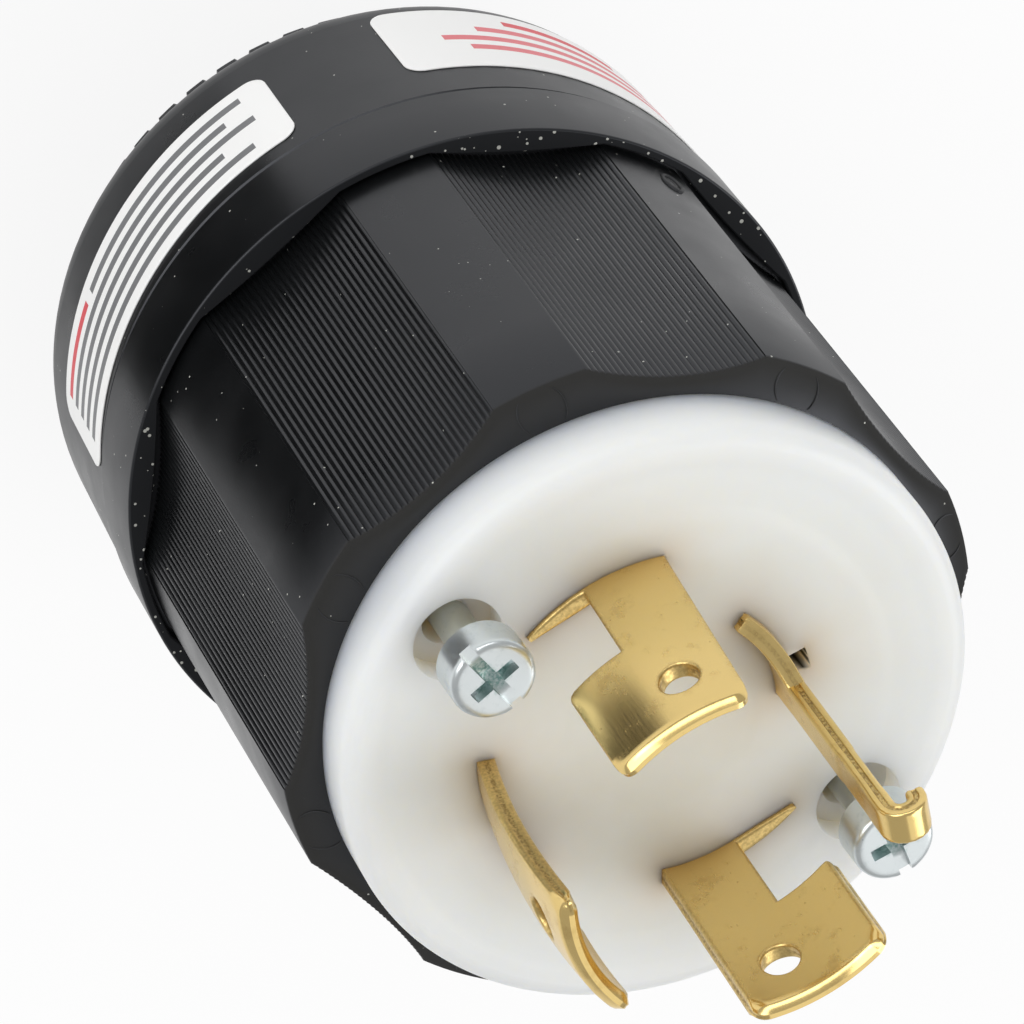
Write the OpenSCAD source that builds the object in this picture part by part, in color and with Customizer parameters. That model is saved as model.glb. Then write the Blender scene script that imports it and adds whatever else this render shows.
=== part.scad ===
// Locking power plug with four blades, built as the pieces it comes apart into.
// It stands on its gland nut, and +Z runs along the plug's axis towards the blades.

/* [Face] */
// Radius of the white face disc
face_r = 24.3; // [23.4:0.1:24.6]
// Height of the face disc above the grip's front rim
face_h = 5.1; // [4.5:0.1:8]
// Rounding of the disc's front edge
face_edge_r = 1.4; // [0.6:0.1:2]
// Depth of the spigot that enters the grip
spigot_h = 13.6; // [10:0.1:16]
// Outer radius of the shallow ring sunk in the face
face_ring_outer_r = 21.4; // [20:0.1:22]
// Inner radius of the shallow ring sunk in the face
face_ring_inner_r = 17.5; // [16.5:0.1:19]
// Radius of the shallow dish in the middle of the face
face_dish_r = 7.3; // [4:0.1:8]
// Depth of the ring and of the dish
face_relief = 0.25; // [0.1:0.05:0.4]

/* [Line and neutral blades] */
// Radius of the circle that the blades' outer sides lie on
blade_r = 14.2; // [13.6:0.1:14.4]
// Thickness of the blade metal, the ground blade's too
blade_t = 1.4; // [1.2:0.05:1.6]
// Height of the blades above the face
blade_h = 18.4; // [16.5:0.1:22]
// Angle of the first line blade's straight edge
blade_clock = 74.6; // [72:0.1:76]
// Angle that the narrow neck covers
neck_deg = 26.5; // [22:0.5:30]
// Angle that the head and the base cover
head_deg = 47.3; // [43:0.1:48]
// Angle that the tail behind the face covers
tail_deg = 36; // [32:0.5:38]
// Height of the notch under the head
notch_h = 8.1; // [6:0.1:10]
// Height that the base strip shows above the face
strip_h = 0.3; // [0.1:0.1:1]
// Height of the coined bevel at the tip
tip_bevel_h = 1.1; // [0.5:0.1:1.5]
// Depth of the coined bevel into each side of the tip
tip_bevel_t = 0.4; // [0.2:0.05:0.5]
// Rounding of the head's corners
head_corner_r = 1.1; // [0.5:0.1:1.5]
// Diameter of the hole in the head
head_hole_d = 3; // [2:0.1:4]
// Height of that hole above the face
head_hole_h = 13.8; // [12.5:0.1:14.5]
// Angle of that hole from the straight edge
head_hole_deg = 16.4; // [14:0.1:20]

/* [Ground blade] */
// Radius of the ground blade's outer side
ground_r = 10.1; // [9.8:0.1:10.4]
// Angle of the ground blade's straight edge
ground_clock = -12.4; // [-14:0.1:-10]
// Angle that its base covers
ground_base_deg = 50; // [44:0.5:51]
// Angle that its tail behind the face covers
ground_tail_deg = 34; // [30:0.5:35]
// Width of its neck and hook
ground_neck_w = 2.7; // [2.4:0.1:3.4]
// Height of the hook's top above the face
ground_h = 20.8; // [18:0.1:23]
// Inner radius of the hook
hook_inner_r = 0.45; // [0.3:0.05:0.8]
// Length of the hook's returning end below its bend
hook_return_h = 0.4; // [0.2:0.1:3]
// Height of the base's shoulder beside the neck
shoulder_high = 3; // [2:0.1:4]
// Height of the base's shoulder at its far end
shoulder_low = 0.6; // [0.3:0.1:1.2]
// Radial width of the gauge slot beside the ground blade
gauge_slot_w = 1.5; // [1:0.1:2]
// Angle that the gauge slot covers
gauge_slot_deg = 9.5; // [6:0.5:12]
// Depth of the gauge slot
gauge_slot_depth = 9; // [4:0.5:10]

/* [Grip] */
// How far the lip ring stands out over the grip's lands
lip_over_lands = 1.4; // [1.2:0.1:1.8]
// Length of the fluted grip
grip_h = 34.4; // [28:0.1:42]
// Number of lands round the grip
land_count = 8; // [6:1:10]
// Angle that each land covers
land_deg = 15.4; // [12:0.2:18]
// Depth of a scallop below the straight line from land to land
scallop_sag = 1; // [0.4:0.1:1.2]
// Number of ribs in each scallop
rib_count = 28; // [8:1:32]
// Depth of the grooves between the ribs
rib_depth = 0.3; // [0.1:0.05:0.4]
// Fall of the rim's front from the face disc to the lands
rim_fall = 1.2; // [0.4:0.1:2]
// Radius of the bore through the grip
bore_r = 21.6; // [21.4:0.1:22]

/* [Lip and rear shell] */
// How far the lip ring stands out over the band
lip_over_band = 0.2; // [0:0.1:0.5]
// Length of the lip ring
lip_h = 7.6; // [6:0.1:10]
// Depth of the gap that runs round the grip in the lip's front
gap_h = 1.2; // [0.5:0.1:2]
// Width of that gap at the lands
gap_w = 0.3; // [0.2:0.1:0.4]
// Depth of the gap's scallops below the straight line from land to land
gap_sag = 0.2; // [0.1:0.1:0.4]
// Radius over the band where it meets the lip
band_r = 28.1; // [27.6:0.1:29.8]
// How much smaller the band's radius is at its rear rounding
band_taper = 0.4; // [0.1:0.1:1]
// Rounding of the lip's front edge
lip_edge_r = 0.8; // [0.3:0.1:1.5]
// Chamfer on both sides of the parting line
parting_chamfer = 0.35; // [0.1:0.05:0.6]
// Length of the rear shell's band
band_h = 19.2; // [18:0.1:26]
// Rounding of the band's rear edge
band_edge_r = 4; // [2:0.1:4.5]
// Wall of the band
band_wall = 4; // [3:0.1:4.2]
// Thickness of the tongue that registers the grip on the rear shell
tongue_t = 1.6; // [1:0.1:1.8]
// Height of that tongue
tongue_h = 3; // [2:0.1:4]
// Thickness of the rear plate
plate_t = 3.6; // [3:0.1:5]
// Thickness of the stop ring at the seal's inner end
stop_t = 1.6; // [1:0.1:2.2]
// Inner radius of that stop ring
stop_r = 10.4; // [10:0.1:11]
// Outer radius of the neck that takes the gland nut
neck_r = 16.2; // [15.6:0.1:16.4]
// Thickness of the webs between the screw bosses and the band
web_t = 3; // [2:0.1:4]

/* [Gland] */
// Radius over the gland nut's teeth
nut_r = 25; // [24.6:0.1:26]
// Height of the gland nut
nut_h = 13.2; // [12:0.1:16]
// Height of the nut's toothed rim
nut_rim_h = 2; // [1.5:0.1:3]
// Number of teeth round the rim
nut_teeth = 52; // [24:1:72]
// Height of the teeth
tooth_depth = 0.9; // [0.4:0.1:1.2]
// Share of the pitch that a tooth takes at its top
tooth_share = 0.5; // [0.3:0.05:0.6]
// Radius of the nut's cone under the rim
nut_cone_r = 23.6; // [22.5:0.1:23.6]
// Radius of the nut's cone at its rear end
nut_end_r = 16; // [15.6:0.1:17]
// Chamfer of the nut's rear edge
nut_edge_r = 0.8; // [0.4:0.1:1]
// Thickness of the nut's end wall
nut_wall = 4; // [3.4:0.1:5]
// Radius of the cord hole in the nut
mouth_r = 10.8; // [10.2:0.1:11.4]
// Chamfer at the rim of the cord hole
mouth_chamfer = 1.2; // [0.5:0.1:1.5]
// Outer radius of the seal's chamber in the neck
chamber_r = 13; // [12.6:0.1:13.4]
// Radius of the cord hole in the seal
cord_r = 8.8; // [7:0.1:9.6]
// Chamfer at the seal's mouth
seal_chamfer = 1; // [0.5:0.1:1.2]
// Thickness of the thrust washer
washer_t = 1.6; // [1:0.1:2]
// Radius of the hole in the thrust washer
washer_hole_r = 10.2; // [9.8:0.1:11]

/* [Assembly screws] */
// Radius of the circle that the screws stand on
screw_circle_r = 18.7; // [18.4:0.1:18.9]
// Angle of the first screw
screw_clock = 130.4; // [129:0.1:132]
// Diameter of the screw shank
screw_d = 2.8; // [2.5:0.1:3]
// Diameter of the screw head
screw_head_d = 6.1; // [5.6:0.1:6.4]
// Height of the screw head
screw_head_h = 3.2; // [2.5:0.1:4]
// Height of the first head's top above the face, as backed out
screw_proud_1 = 5.9; // [0:0.1:6.4]
// Height of the second head's top above the face, as backed out
screw_proud_2 = 5.8; // [0:0.1:6.4]
// Angle that the first screw's slot is turned by
screw_turn_1 = 71; // [0:1:179]
// Angle that the second screw's slot is turned by
screw_turn_2 = 55; // [0:1:179]
// Radial room between screw head and its hole in the face
head_room = 0.3; // [0.2:0.05:0.4]
// Depth of the hole that takes the screw head
counterbore_h = 4.2; // [4.1:0.1:6]
// Width of the slot in the screw head
slot_w = 1.1; // [0.8:0.1:1.4]
// Length of the cross recess in the screw head
cross_len = 4; // [3:0.1:4.6]
// Depth of the slot and the cross in the screw head
recess_h = 1.3; // [0.8:0.1:2]
// Outer diameter of the brass inserts
insert_d = 4.2; // [3.8:0.1:4.4]
// Length of the brass inserts
insert_h = 11; // [7:0.5:14]
// Length of the second screw's shank that is still in its insert
screw_engaged = 6; // [3:0.5:7]

/* [Terminals] */
// Height of the terminal block
block_h = 17; // [16:0.5:22]
// Thickness of the block's top plate
block_plate_t = 3; // [2:0.1:4]
// Thickness of the barriers between the poles
barrier_t = 2; // [1.4:0.1:2.1]
// Radius of the block's hub
hub_r = 4; // [3:0.1:4.3]
// Height of the tails above the block's rear end
tail_rise = 1; // [0.5:0.1:2]
// Diameter of the terminal screw shank
term_d = 3.5; // [3:0.1:3.6]
// Diameter of the terminal screw head
term_head_d = 6.8; // [6:0.1:7]
// Height of the terminal screw head
term_head_h = 2.4; // [2:0.1:3]
// Height of the terminal screws above the block's rear end
term_rise = 7; // [6:0.1:8]
// Room for a wire between tail and clamp plate
wire_gap = 1.6; // [1:0.1:1.8]
// Thickness of a clamp plate
clamp_t = 1.5; // [1.2:0.1:1.6]
// Height of a clamp plate
clamp_h = 9; // [7:0.1:10]
// Width of a line or neutral clamp plate
clamp_w = 8; // [6:0.1:8.4]
// Width of the ground clamp plate
ground_clamp_w = 5; // [4.4:0.1:5.2]
// Length of terminal screw past its clamp plate
term_past = 0.25; // [0.1:0.05:0.4]

/* [Stickers] */
// Thickness of a sticker
label_t = 0.15; // [0.1:0.01:0.25]
// Angle that a sticker covers
label_deg = 67.4; // [50:0.1:75]
// Angle of the left sticker's near end
label_left_clock = 97.3; // [94:0.1:100]
// Angle of the right sticker's near end
label_right_clock = 77.1; // [74:0.1:80]
// Width of the left sticker
label_left_w = 10.4; // [8:0.1:11]
// Width of the right sticker
label_right_w = 10.8; // [8:0.1:11]
// Distance of the left sticker from the parting line
label_left_gap = 1.8; // [1:0.1:3]
// Distance of the right sticker from the parting line
label_right_gap = 4.2; // [1:0.1:4.2]

/* [Clearances] */
// Room between pieces that slide together
fit = 0.1; // [0.05:0.01:0.15]
// Room round a thread or a screw shank in its own thread
thread_fit = 0.05; // [0.02:0.01:0.1]
// Room round a screw shank in a plain hole
pass_fit = 0.4; // [0.2:0.05:0.5]
// Gap between gland nut and rear shell
nut_gap = 0.4; // [0.2:0.1:1]

/* [Hidden] */
$fn = 96;

// Heights of the stack, from the nut's rear end to the face
z_rear = nut_h + nut_gap;
z_groove = z_rear + band_h;
z_lip = z_groove + lip_h;
z_rim = z_lip + grip_h;
z_face = z_rim + face_h;
z_spigot = z_rim - spigot_h;
z_block = z_spigot - block_h;
z_plate = z_rear + plate_t;
z_stop = z_plate - stop_t;
z_term = z_block + term_rise;

// Radii that follow from the band and from a fit
lip_r = band_r + lip_over_band;
grip_r = lip_r - lip_over_lands;
band_rear_r = band_r - band_taper;
spigot_r = bore_r - fit;
tongue_r = band_r - band_wall + tongue_t;
boss_r = bore_r - 2 * fit - screw_circle_r;
head_bore_r = screw_head_d / 2 + head_room;
screw_hole_r = screw_d / 2 + pass_fit;
blade_inner_r = blade_r - blade_t;
ground_inner_r = ground_r - blade_t;

// Angles of the poles, a quarter turn apart
pole_deg = 90;
pole_line_1 = blade_clock;
pole_neutral = blade_clock + pole_deg;
pole_line_2 = blade_clock + 2 * pole_deg;
ground_mid = ground_clock + ground_tail_deg / 2;
// Angle of the ground neck's middle, from its width at the middle of the metal
ground_neck_clock = ground_clock + asin(ground_neck_w / 2 / (ground_r - blade_t / 2));

// Far more than the part is across, for cuts that go right through
reach = 2 * band_r;
// How far a cut runs past a face, and a piece into the one that it grows from
over = 1;

brass = "#c79a4f";
nylon_black = "#26272a";
nylon_white = "#eeece2";
zinc = "#c9d2d4";
paper_white = "#f4f4f2";

// Sector of a ring, from angle start over angle deg
module sector(r_in, r_out, start, deg, z, h) {
    rotate([0, 0, start])
        rotate_extrude(angle = deg)
            translate([r_in, z])
                square([r_out - r_in, h]);
}

// Flat shape that rounds a square corner at the origin, with the material towards -x and -y
module corner_round(r) {
    difference() {
        translate([-r, -r])
            square(2 * r);
        translate([-r, -r])
            circle(r);
    }
}

// The same corner with a round that meets both sides at a slight angle
module corner_soft(r) {
    difference() {
        translate([-r, -r])
            square(2 * r);
        translate([-r, -r])
            circle(1.06 * r);
    }
}

// The same corner with a chamfer of c
module corner_chamfer(c) {
    polygon([[-c, c], [-c, 0], [0, -c], [c, -c], [c, c]]);
}

// Moves its children to one assembly screw
module at_screw(turn) {
    rotate([0, 0, screw_clock + turn])
        translate([screw_circle_r, 0, 0])
            children();
}

// Copies its children to both assembly screws
module at_screws() {
    for (turn = [0, 180])
        at_screw(turn)
            children();
}

// Bar along the radius at an angle, centred on the terminal screws' height
module radial_rod(clock, d, from_r, to_r) {
    rotate([0, 0, clock])
        translate([from_r, 0, z_term])
            rotate([0, 90, 0])
                cylinder(d = d, h = to_r - from_r);
}

// Slot for a blade's base or tail, with room on every side
module blade_slot(r_in, r_out, start, deg, z, h) {
    side = fit / r_in * 180 / PI;
    sector(r_in - fit, r_out + fit, start - side, deg + 2 * side, z, h);
}

// White nylon face: a rounded disc with a shallow ring and dish, on a spigot
module front_face() {
    color(nylon_white)
        difference() {
            rotate_extrude()
                difference() {
                    union() {
                        translate([0, z_spigot])
                            square([spigot_r, spigot_h]);
                        translate([0, z_rim])
                            square([face_r, face_h]);
                    }
                    translate([face_r, z_face])
                        corner_round(face_edge_r);
                    translate([face_ring_inner_r, z_face - face_relief])
                        square([face_ring_outer_r - face_ring_inner_r, 2 * face_relief]);
                    translate([0, z_face - face_relief])
                        square([face_dish_r, 2 * face_relief]);
                }
            for (pole = [pole_line_1, pole_neutral, pole_line_2])
                blade_slot(blade_inner_r, blade_r, pole, head_deg, z_spigot - over,
                    spigot_h + face_h + 2 * over);
            blade_slot(ground_inner_r, ground_r, ground_clock, ground_base_deg, z_spigot - over,
                spigot_h + face_h + 2 * over);
            sector(ground_r, ground_r + gauge_slot_w, ground_neck_clock, gauge_slot_deg,
                z_face - gauge_slot_depth, gauge_slot_depth + over);
            at_screws() {
                translate([0, 0, z_spigot - over])
                    cylinder(r = screw_hole_r, h = spigot_h + face_h + 2 * over);
                translate([0, 0, z_face - counterbore_h])
                    cylinder(r = head_bore_r, h = counterbore_h + over);
            }
        }
}

// Takes the square corner off a blade at an angle and height; side and up are 1 or -1
// and point from the blade's metal to the corner
module blade_corner_cut(clock, z, side, up) {
    c = head_corner_r;
    rotate([0, 0, clock])
        translate([blade_r, 0, z])
            rotate([90, 0, 90])
                linear_extrude(height = 2 * blade_t + 2 * c, center = true)
                    mirror([side < 0 ? 1 : 0, 0])
                        mirror([0, up < 0 ? 1 : 0])
                            corner_soft(c);
}

// Curved locking blade: neck and hooked head over a base in the face and a tail behind it
module locking_blade(pole) {
    z_tip = z_face + blade_h;
    z_tail = z_block + tail_rise;
    color(brass)
        difference() {
            union() {
                sector(blade_inner_r, blade_r, pole, tail_deg, z_tail, z_face - z_tail);
                sector(blade_inner_r, blade_r, pole, head_deg, z_spigot, z_face + strip_h - z_spigot);
                sector(blade_inner_r, blade_r, pole, neck_deg, z_face, notch_h + head_corner_r);
                rotate([0, 0, pole])
                    rotate_extrude(angle = head_deg)
                        polygon([
                            [blade_inner_r, z_face + notch_h],
                            [blade_r, z_face + notch_h],
                            [blade_r, z_tip - tip_bevel_h],
                            [blade_r - tip_bevel_t, z_tip],
                            [blade_inner_r + tip_bevel_t, z_tip],
                            [blade_inner_r, z_tip - tip_bevel_h]
                        ]);
            }
            blade_corner_cut(pole, z_tip, -1, 1);
            blade_corner_cut(pole + head_deg, z_tip, 1, 1);
            blade_corner_cut(pole + head_deg, z_face + notch_h, 1, -1);
            rotate([0, 0, pole + head_hole_deg])
                translate([blade_inner_r - over, 0, z_face + head_hole_h])
                    rotate([0, 90, 0])
                        cylinder(d = head_hole_d, h = blade_t + 2 * over);
            radial_rod(pole + tail_deg / 2, term_d + pass_fit, 0, reach);
        }
}

// Side view of the ground blade's neck and hook, radius across and height up
module hook_profile() {
    outer_r = hook_inner_r + blade_t;
    bend = [ground_r + hook_inner_r, z_face + ground_h - outer_r];
    translate([ground_inner_r, z_face])
        square([blade_t, ground_h - outer_r]);
    translate([bend.x + hook_inner_r, bend.y - hook_return_h])
        square([blade_t, hook_return_h]);
    difference() {
        translate(bend)
            circle(outer_r);
        translate(bend)
            circle(hook_inner_r);
        translate([bend.x - reach / 2, bend.y - reach])
            square(reach);
    }
}

// Narrow ground blade: curved base with a sloping shoulder, straight neck and hooked tip
module blade_ground() {
    z_tail = z_block + tail_rise;
    shoulder_clock = ground_neck_clock + (ground_neck_clock - ground_clock);
    shoulder_deg = ground_base_deg - 2 * (ground_neck_clock - ground_clock);
    run = 2 * ground_r * sin(shoulder_deg / 2);
    slope = atan((shoulder_high - shoulder_low) / run);
    color(brass) {
        difference() {
            union() {
                sector(ground_inner_r, ground_r, ground_clock, ground_tail_deg, z_tail, z_face - z_tail);
                sector(ground_inner_r, ground_r, ground_clock, ground_base_deg, z_spigot,
                    z_face + shoulder_high - z_spigot);
            }
            rotate([0, 0, shoulder_clock + shoulder_deg / 2])
                translate([0, -run / 2, z_face + shoulder_high])
                    rotate([-slope, 0, 0])
                        translate([0, -run, 0])
                            cube([reach, reach, reach]);
            radial_rod(ground_mid, term_d + pass_fit, 0, reach);
        }
        rotate([0, 0, ground_neck_clock])
            rotate([90, 0, 0])
                linear_extrude(height = ground_neck_w, center = true)
                    hook_profile();
    }
}

module blade_line_1() {
    locking_blade(pole_line_1);
}

module blade_line_2() {
    locking_blade(pole_line_2);
}

module blade_neutral() {
    locking_blade(pole_neutral);
}

// Long screw with a slot and a cross in the head, its top proud of the face and its end at z_end
module long_screw(proud, z_end) {
    z_top = z_face + proud;
    z_head = z_top - screw_head_h;
    difference() {
        union() {
            translate([0, 0, z_end])
                cylinder(d = screw_d, h = z_head - z_end);
            translate([0, 0, z_head])
                cylinder(d = screw_head_d, h = screw_head_h);
        }
        translate([-slot_w / 2, -screw_head_d, z_top - recess_h])
            cube([slot_w, 2 * screw_head_d, 2 * recess_h]);
        translate([-cross_len / 2, -slot_w / 2, z_top - recess_h])
            cube([cross_len, slot_w, 2 * recess_h]);
    }
}

// Both assembly screws, of one length, standing backed out of the face by different heights
module assembly_screws() {
    z_end = z_block - screw_engaged;
    color(zinc) {
        at_screw(0)
            rotate([0, 0, screw_turn_1])
                long_screw(screw_proud_1, z_end + screw_proud_1 - screw_proud_2);
        at_screw(180)
            rotate([0, 0, screw_turn_2])
                long_screw(screw_proud_2, z_end);
    }
}

// Brass inserts in the rear shell's bosses
module screw_inserts() {
    color(brass)
        at_screws()
            translate([0, 0, z_block - insert_h])
                difference() {
                    cylinder(d = insert_d, h = insert_h);
                    translate([0, 0, -over])
                        cylinder(r = screw_d / 2 + thread_fit, h = insert_h + 2 * over);
                }
}

// Outline of the grip: lands on a circle, and hollows of a circle round a centre outside
scallop_deg = 360 / land_count - land_deg;
// Where a rib's groove and crest begin and end, as shares of its pitch
rib_marks = [[0.1, 1], [0.25, 0], [0.75, 0], [0.9, 1]];
// Points of a ribbed hollow and of a plain one: share of the way across, and depth below the hollow
rib_steps = [for (k = [0 : rib_count - 1], m = rib_marks) [(k + m[0]) / rib_count, m[1] * rib_depth]];
plain_steps = [for (k = [1 : 11]) [k / 12, 0]];
land_steps = 4;

// A hollow between two lands of radius r: its own radius, its centre's distance and half its sweep
function hollow(r, sag) =
    let (half = r * sin(scallop_deg / 2), own_r = (half * half + sag * sag) / (2 * sag))
    [own_r, r * cos(scallop_deg / 2) - sag + own_r, asin(half / own_r)];

function hollow_point(h, mid, step) =
    let (turn = h[2] * (2 * step[0] - 1), r = h[0] + step[1])
    let (x = h[1] - r * cos(turn), y = r * sin(turn))
    [x * cos(mid) - y * sin(mid), x * sin(mid) + y * cos(mid)];

function land_points(r, mid) = [
    for (i = [0 : land_steps])
        let (a = mid + land_deg * (i / land_steps - 0.5))
        [r * cos(a), r * sin(a)]
];

function fluted(r, sag, steps) =
    let (h = hollow(r, sag), pitch = 360 / land_count)
    [
        for (i = [0 : land_count - 1])
            each concat(
                land_points(r, pitch * i),
                [for (step = steps) hollow_point(h, pitch * (i + 0.5), step)]
            )
    ];

// Black nylon grip: fluted and ribbed, with a sloping rim, a lip ring behind and a gap round its foot
module grip_shell() {
    rim_slope = rim_fall / (grip_r - face_r);
    rim_run = lip_r - face_r;
    color(nylon_black)
        difference() {
            union() {
                translate([0, 0, z_lip - 2 * gap_h])
                    linear_extrude(height = grip_h + 2 * gap_h)
                        polygon(fluted(grip_r, scallop_sag, rib_steps));
                difference() {
                    rotate_extrude()
                        difference() {
                            translate([0, z_groove])
                                square([lip_r, lip_h]);
                            translate([lip_r, z_lip])
                                corner_round(lip_edge_r);
                            translate([lip_r, z_groove])
                                mirror([0, 1])
                                    corner_chamfer(parting_chamfer);
                            translate([0, z_groove - over])
                                square([tongue_r + fit, tongue_h + fit + over]);
                        }
                    translate([0, 0, z_lip - gap_h])
                        linear_extrude(height = gap_h + over)
                            polygon(fluted(grip_r + gap_w, gap_sag, plain_steps));
                }
            }
            rotate_extrude()
                translate([face_r, z_rim])
                    polygon([[0, 0], [rim_run, -rim_run * rim_slope], [rim_run, over], [0, over]]);
            translate([0, 0, z_groove - over])
                cylinder(r = bore_r, h = lip_h + grip_h + 2 * over);
        }
}

// Black nylon rear body: band, rear plate with a neck for the gland, and two screw bosses
module rear_shell() {
    inner_r = band_r - band_wall;
    z_neck = nut_wall + nut_gap;
    z_band_edge = z_rear + band_edge_r;
    color(nylon_black)
        difference() {
            union() {
                rotate_extrude()
                    difference() {
                        union() {
                            difference() {
                                polygon([
                                    [stop_r, z_rear],
                                    [band_rear_r, z_rear],
                                    [band_rear_r, z_band_edge],
                                    [band_r, z_groove],
                                    [stop_r, z_groove]
                                ]);
                                translate([stop_r - over, z_plate])
                                    square([inner_r - stop_r + over, band_h]);
                                translate([band_rear_r, z_rear])
                                    mirror([0, 1])
                                        corner_round(band_edge_r);
                                translate([band_r, z_groove])
                                    corner_chamfer(parting_chamfer);
                            }
                            translate([inner_r, z_groove - over])
                                square([tongue_t, tongue_h + over]);
                            translate([chamber_r, z_neck])
                                square([neck_r - chamber_r, z_rear - z_neck + over]);
                        }
                        translate([0, z_rear - over])
                            square([chamber_r, z_stop - z_rear + over]);
                    }
                at_screws() {
                    translate([0, 0, z_plate - over])
                        cylinder(r = boss_r, h = z_block - z_plate + over);
                    translate([0, -web_t / 2, z_plate - over])
                        cube([inner_r + over - screw_circle_r, web_t, z_groove - z_plate - over]);
                }
            }
            at_screws() {
                translate([0, 0, z_block - insert_h])
                    cylinder(d = insert_d + 2 * thread_fit, h = insert_h + over);
                translate([0, 0, z_block - insert_h - over])
                    cylinder(r = screw_hole_r, h = 2 * over);
            }
        }
}

// Insulator behind the face: slotted plate, hub, barriers and pillars for the screws
module terminal_block() {
    barrier_h = block_h - block_plate_t;
    color("#6d5a3e")
        difference() {
            union() {
                translate([0, 0, z_spigot - block_plate_t])
                    cylinder(r = spigot_r, h = block_plate_t);
                translate([0, 0, z_block])
                    cylinder(r = hub_r, h = block_h - over);
                for (k = [0 : 3])
                    rotate([0, 0, screw_clock + k * pole_deg])
                        translate([0, -barrier_t / 2, z_block])
                            cube([screw_circle_r, barrier_t, barrier_h + over]);
                at_screws()
                    translate([0, 0, z_block])
                        cylinder(r = boss_r, h = barrier_h + over);
            }
            for (pole = [pole_line_1, pole_neutral, pole_line_2])
                blade_slot(blade_inner_r, blade_r, pole, tail_deg, z_block, block_h + over);
            blade_slot(ground_inner_r, ground_r, ground_clock, ground_tail_deg, z_block, block_h + over);
            at_screws()
                translate([0, 0, z_block - over])
                    cylinder(r = screw_hole_r, h = block_h + 2 * over);
        }
}

// Clamp plate inside a tail, with a threaded hole for the terminal screw
module clamp_plate(clock, tail_inner_r, w) {
    r_in = tail_inner_r - wire_gap - clamp_t;
    color(brass)
        difference() {
            rotate([0, 0, clock])
                translate([r_in, -w / 2, z_term - clamp_h / 2])
                    cube([clamp_t, w, clamp_h]);
            radial_rod(clock, term_d + 2 * thread_fit, 0, reach);
        }
}

module clamp_plate_line_1() {
    clamp_plate(pole_line_1 + tail_deg / 2, blade_inner_r, clamp_w);
}

module clamp_plate_line_2() {
    clamp_plate(pole_line_2 + tail_deg / 2, blade_inner_r, clamp_w);
}

module clamp_plate_neutral() {
    clamp_plate(pole_neutral + tail_deg / 2, blade_inner_r, clamp_w);
}

module clamp_plate_ground() {
    clamp_plate(ground_mid, ground_inner_r, ground_clamp_w);
}

// Slotted screw along the radius, through a tail into its clamp plate
module terminal_screw(clock, tail_r) {
    tip_r = tail_r - blade_t - wire_gap - clamp_t - term_past;
    difference() {
        union() {
            radial_rod(clock, term_d, tip_r, tail_r + over);
            radial_rod(clock, term_head_d, tail_r, tail_r + term_head_h);
        }
        rotate([0, 0, clock])
            translate([tail_r + term_head_h / 2, -slot_w / 2, z_term - term_head_d])
                cube([term_head_h, slot_w, 2 * term_head_d]);
    }
}

module terminal_screws_line() {
    color(brass) {
        terminal_screw(pole_line_1 + tail_deg / 2, blade_r);
        terminal_screw(pole_line_2 + tail_deg / 2, blade_r);
    }
}

module terminal_screw_neutral() {
    color(zinc)
        terminal_screw(pole_neutral + tail_deg / 2, blade_r);
}

module terminal_screw_ground() {
    color("#3f7d4c")
        terminal_screw(ground_mid, ground_r);
}

// Outline of the nut's toothed rim
nut_root_r = nut_r - tooth_depth;
tooth_pitch = 360 / nut_teeth;
// Angles at which a tooth rises and falls, as shares of its pitch, with its height
tooth_steps = [
    [0.5 - tooth_share / 2 - 0.1, 0], [0.5 - tooth_share / 2, 1],
    [0.5 + tooth_share / 2, 1], [0.5 + tooth_share / 2 + 0.1, 0]
];

function tooth_points() = [
    for (i = [0 : nut_teeth - 1], s = tooth_steps)
        let (a = tooth_pitch * (i + s[0]), r = nut_root_r + s[1] * tooth_depth)
        [r * cos(a), r * sin(a)]
];

// Black nylon nut that squeezes the seal: a cone with a toothed rim in front
module gland_nut() {
    nut_bore_r = neck_r + 3 * fit;
    z_rim_foot = nut_h - nut_rim_h;
    color(nylon_black)
        difference() {
            union() {
                rotate_extrude()
                    difference() {
                        polygon([
                            [mouth_r, 0],
                            [nut_end_r - nut_edge_r, 0],
                            [nut_end_r, nut_edge_r],
                            [nut_cone_r, z_rim_foot],
                            [nut_cone_r, nut_h],
                            [mouth_r, nut_h]
                        ]);
                        translate([mouth_r, 0])
                            mirror([1, 1])
                                corner_chamfer(mouth_chamfer);
                    }
                difference() {
                    translate([0, 0, z_rim_foot])
                        linear_extrude(height = nut_rim_h)
                            polygon(tooth_points());
                    translate([0, 0, -over])
                        cylinder(r = nut_bore_r + over, h = nut_h + 2 * over);
                }
            }
            translate([0, 0, nut_wall])
                cylinder(r = nut_bore_r, h = nut_h);
        }
}

// Washer that the nut turns against
module thrust_washer() {
    color(zinc)
        translate([0, 0, nut_wall])
            difference() {
                cylinder(r = chamber_r - fit, h = washer_t);
                translate([0, 0, -over])
                    cylinder(r = washer_hole_r, h = washer_t + 2 * over);
            }
}

// Rubber bushing between washer and stop ring
module cord_seal() {
    z_seal = nut_wall + washer_t;
    color("#3a3633")
        rotate_extrude()
            difference() {
                translate([cord_r, z_seal])
                    square([chamber_r - fit - cord_r, z_stop - z_seal]);
                translate([cord_r, z_seal])
                    mirror([1, 1])
                        corner_chamfer(seal_chamfer);
            }
}

// Radius of the tapered band at a distance behind the parting line
function band_at(gap) = band_r - band_taper * gap / (band_h - band_edge_r);

// White paper sticker on the band, from an angle and a distance behind the parting line
module sticker(start, w, gap) {
    r_front = band_at(gap);
    r_rear = band_at(gap + w);
    color(paper_white)
        rotate([0, 0, start])
            rotate_extrude(angle = label_deg)
                translate([0, z_groove - gap])
                    polygon([[r_front, 0], [r_rear, -w], [r_rear + label_t, -w], [r_front + label_t, 0]]);
}

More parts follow.
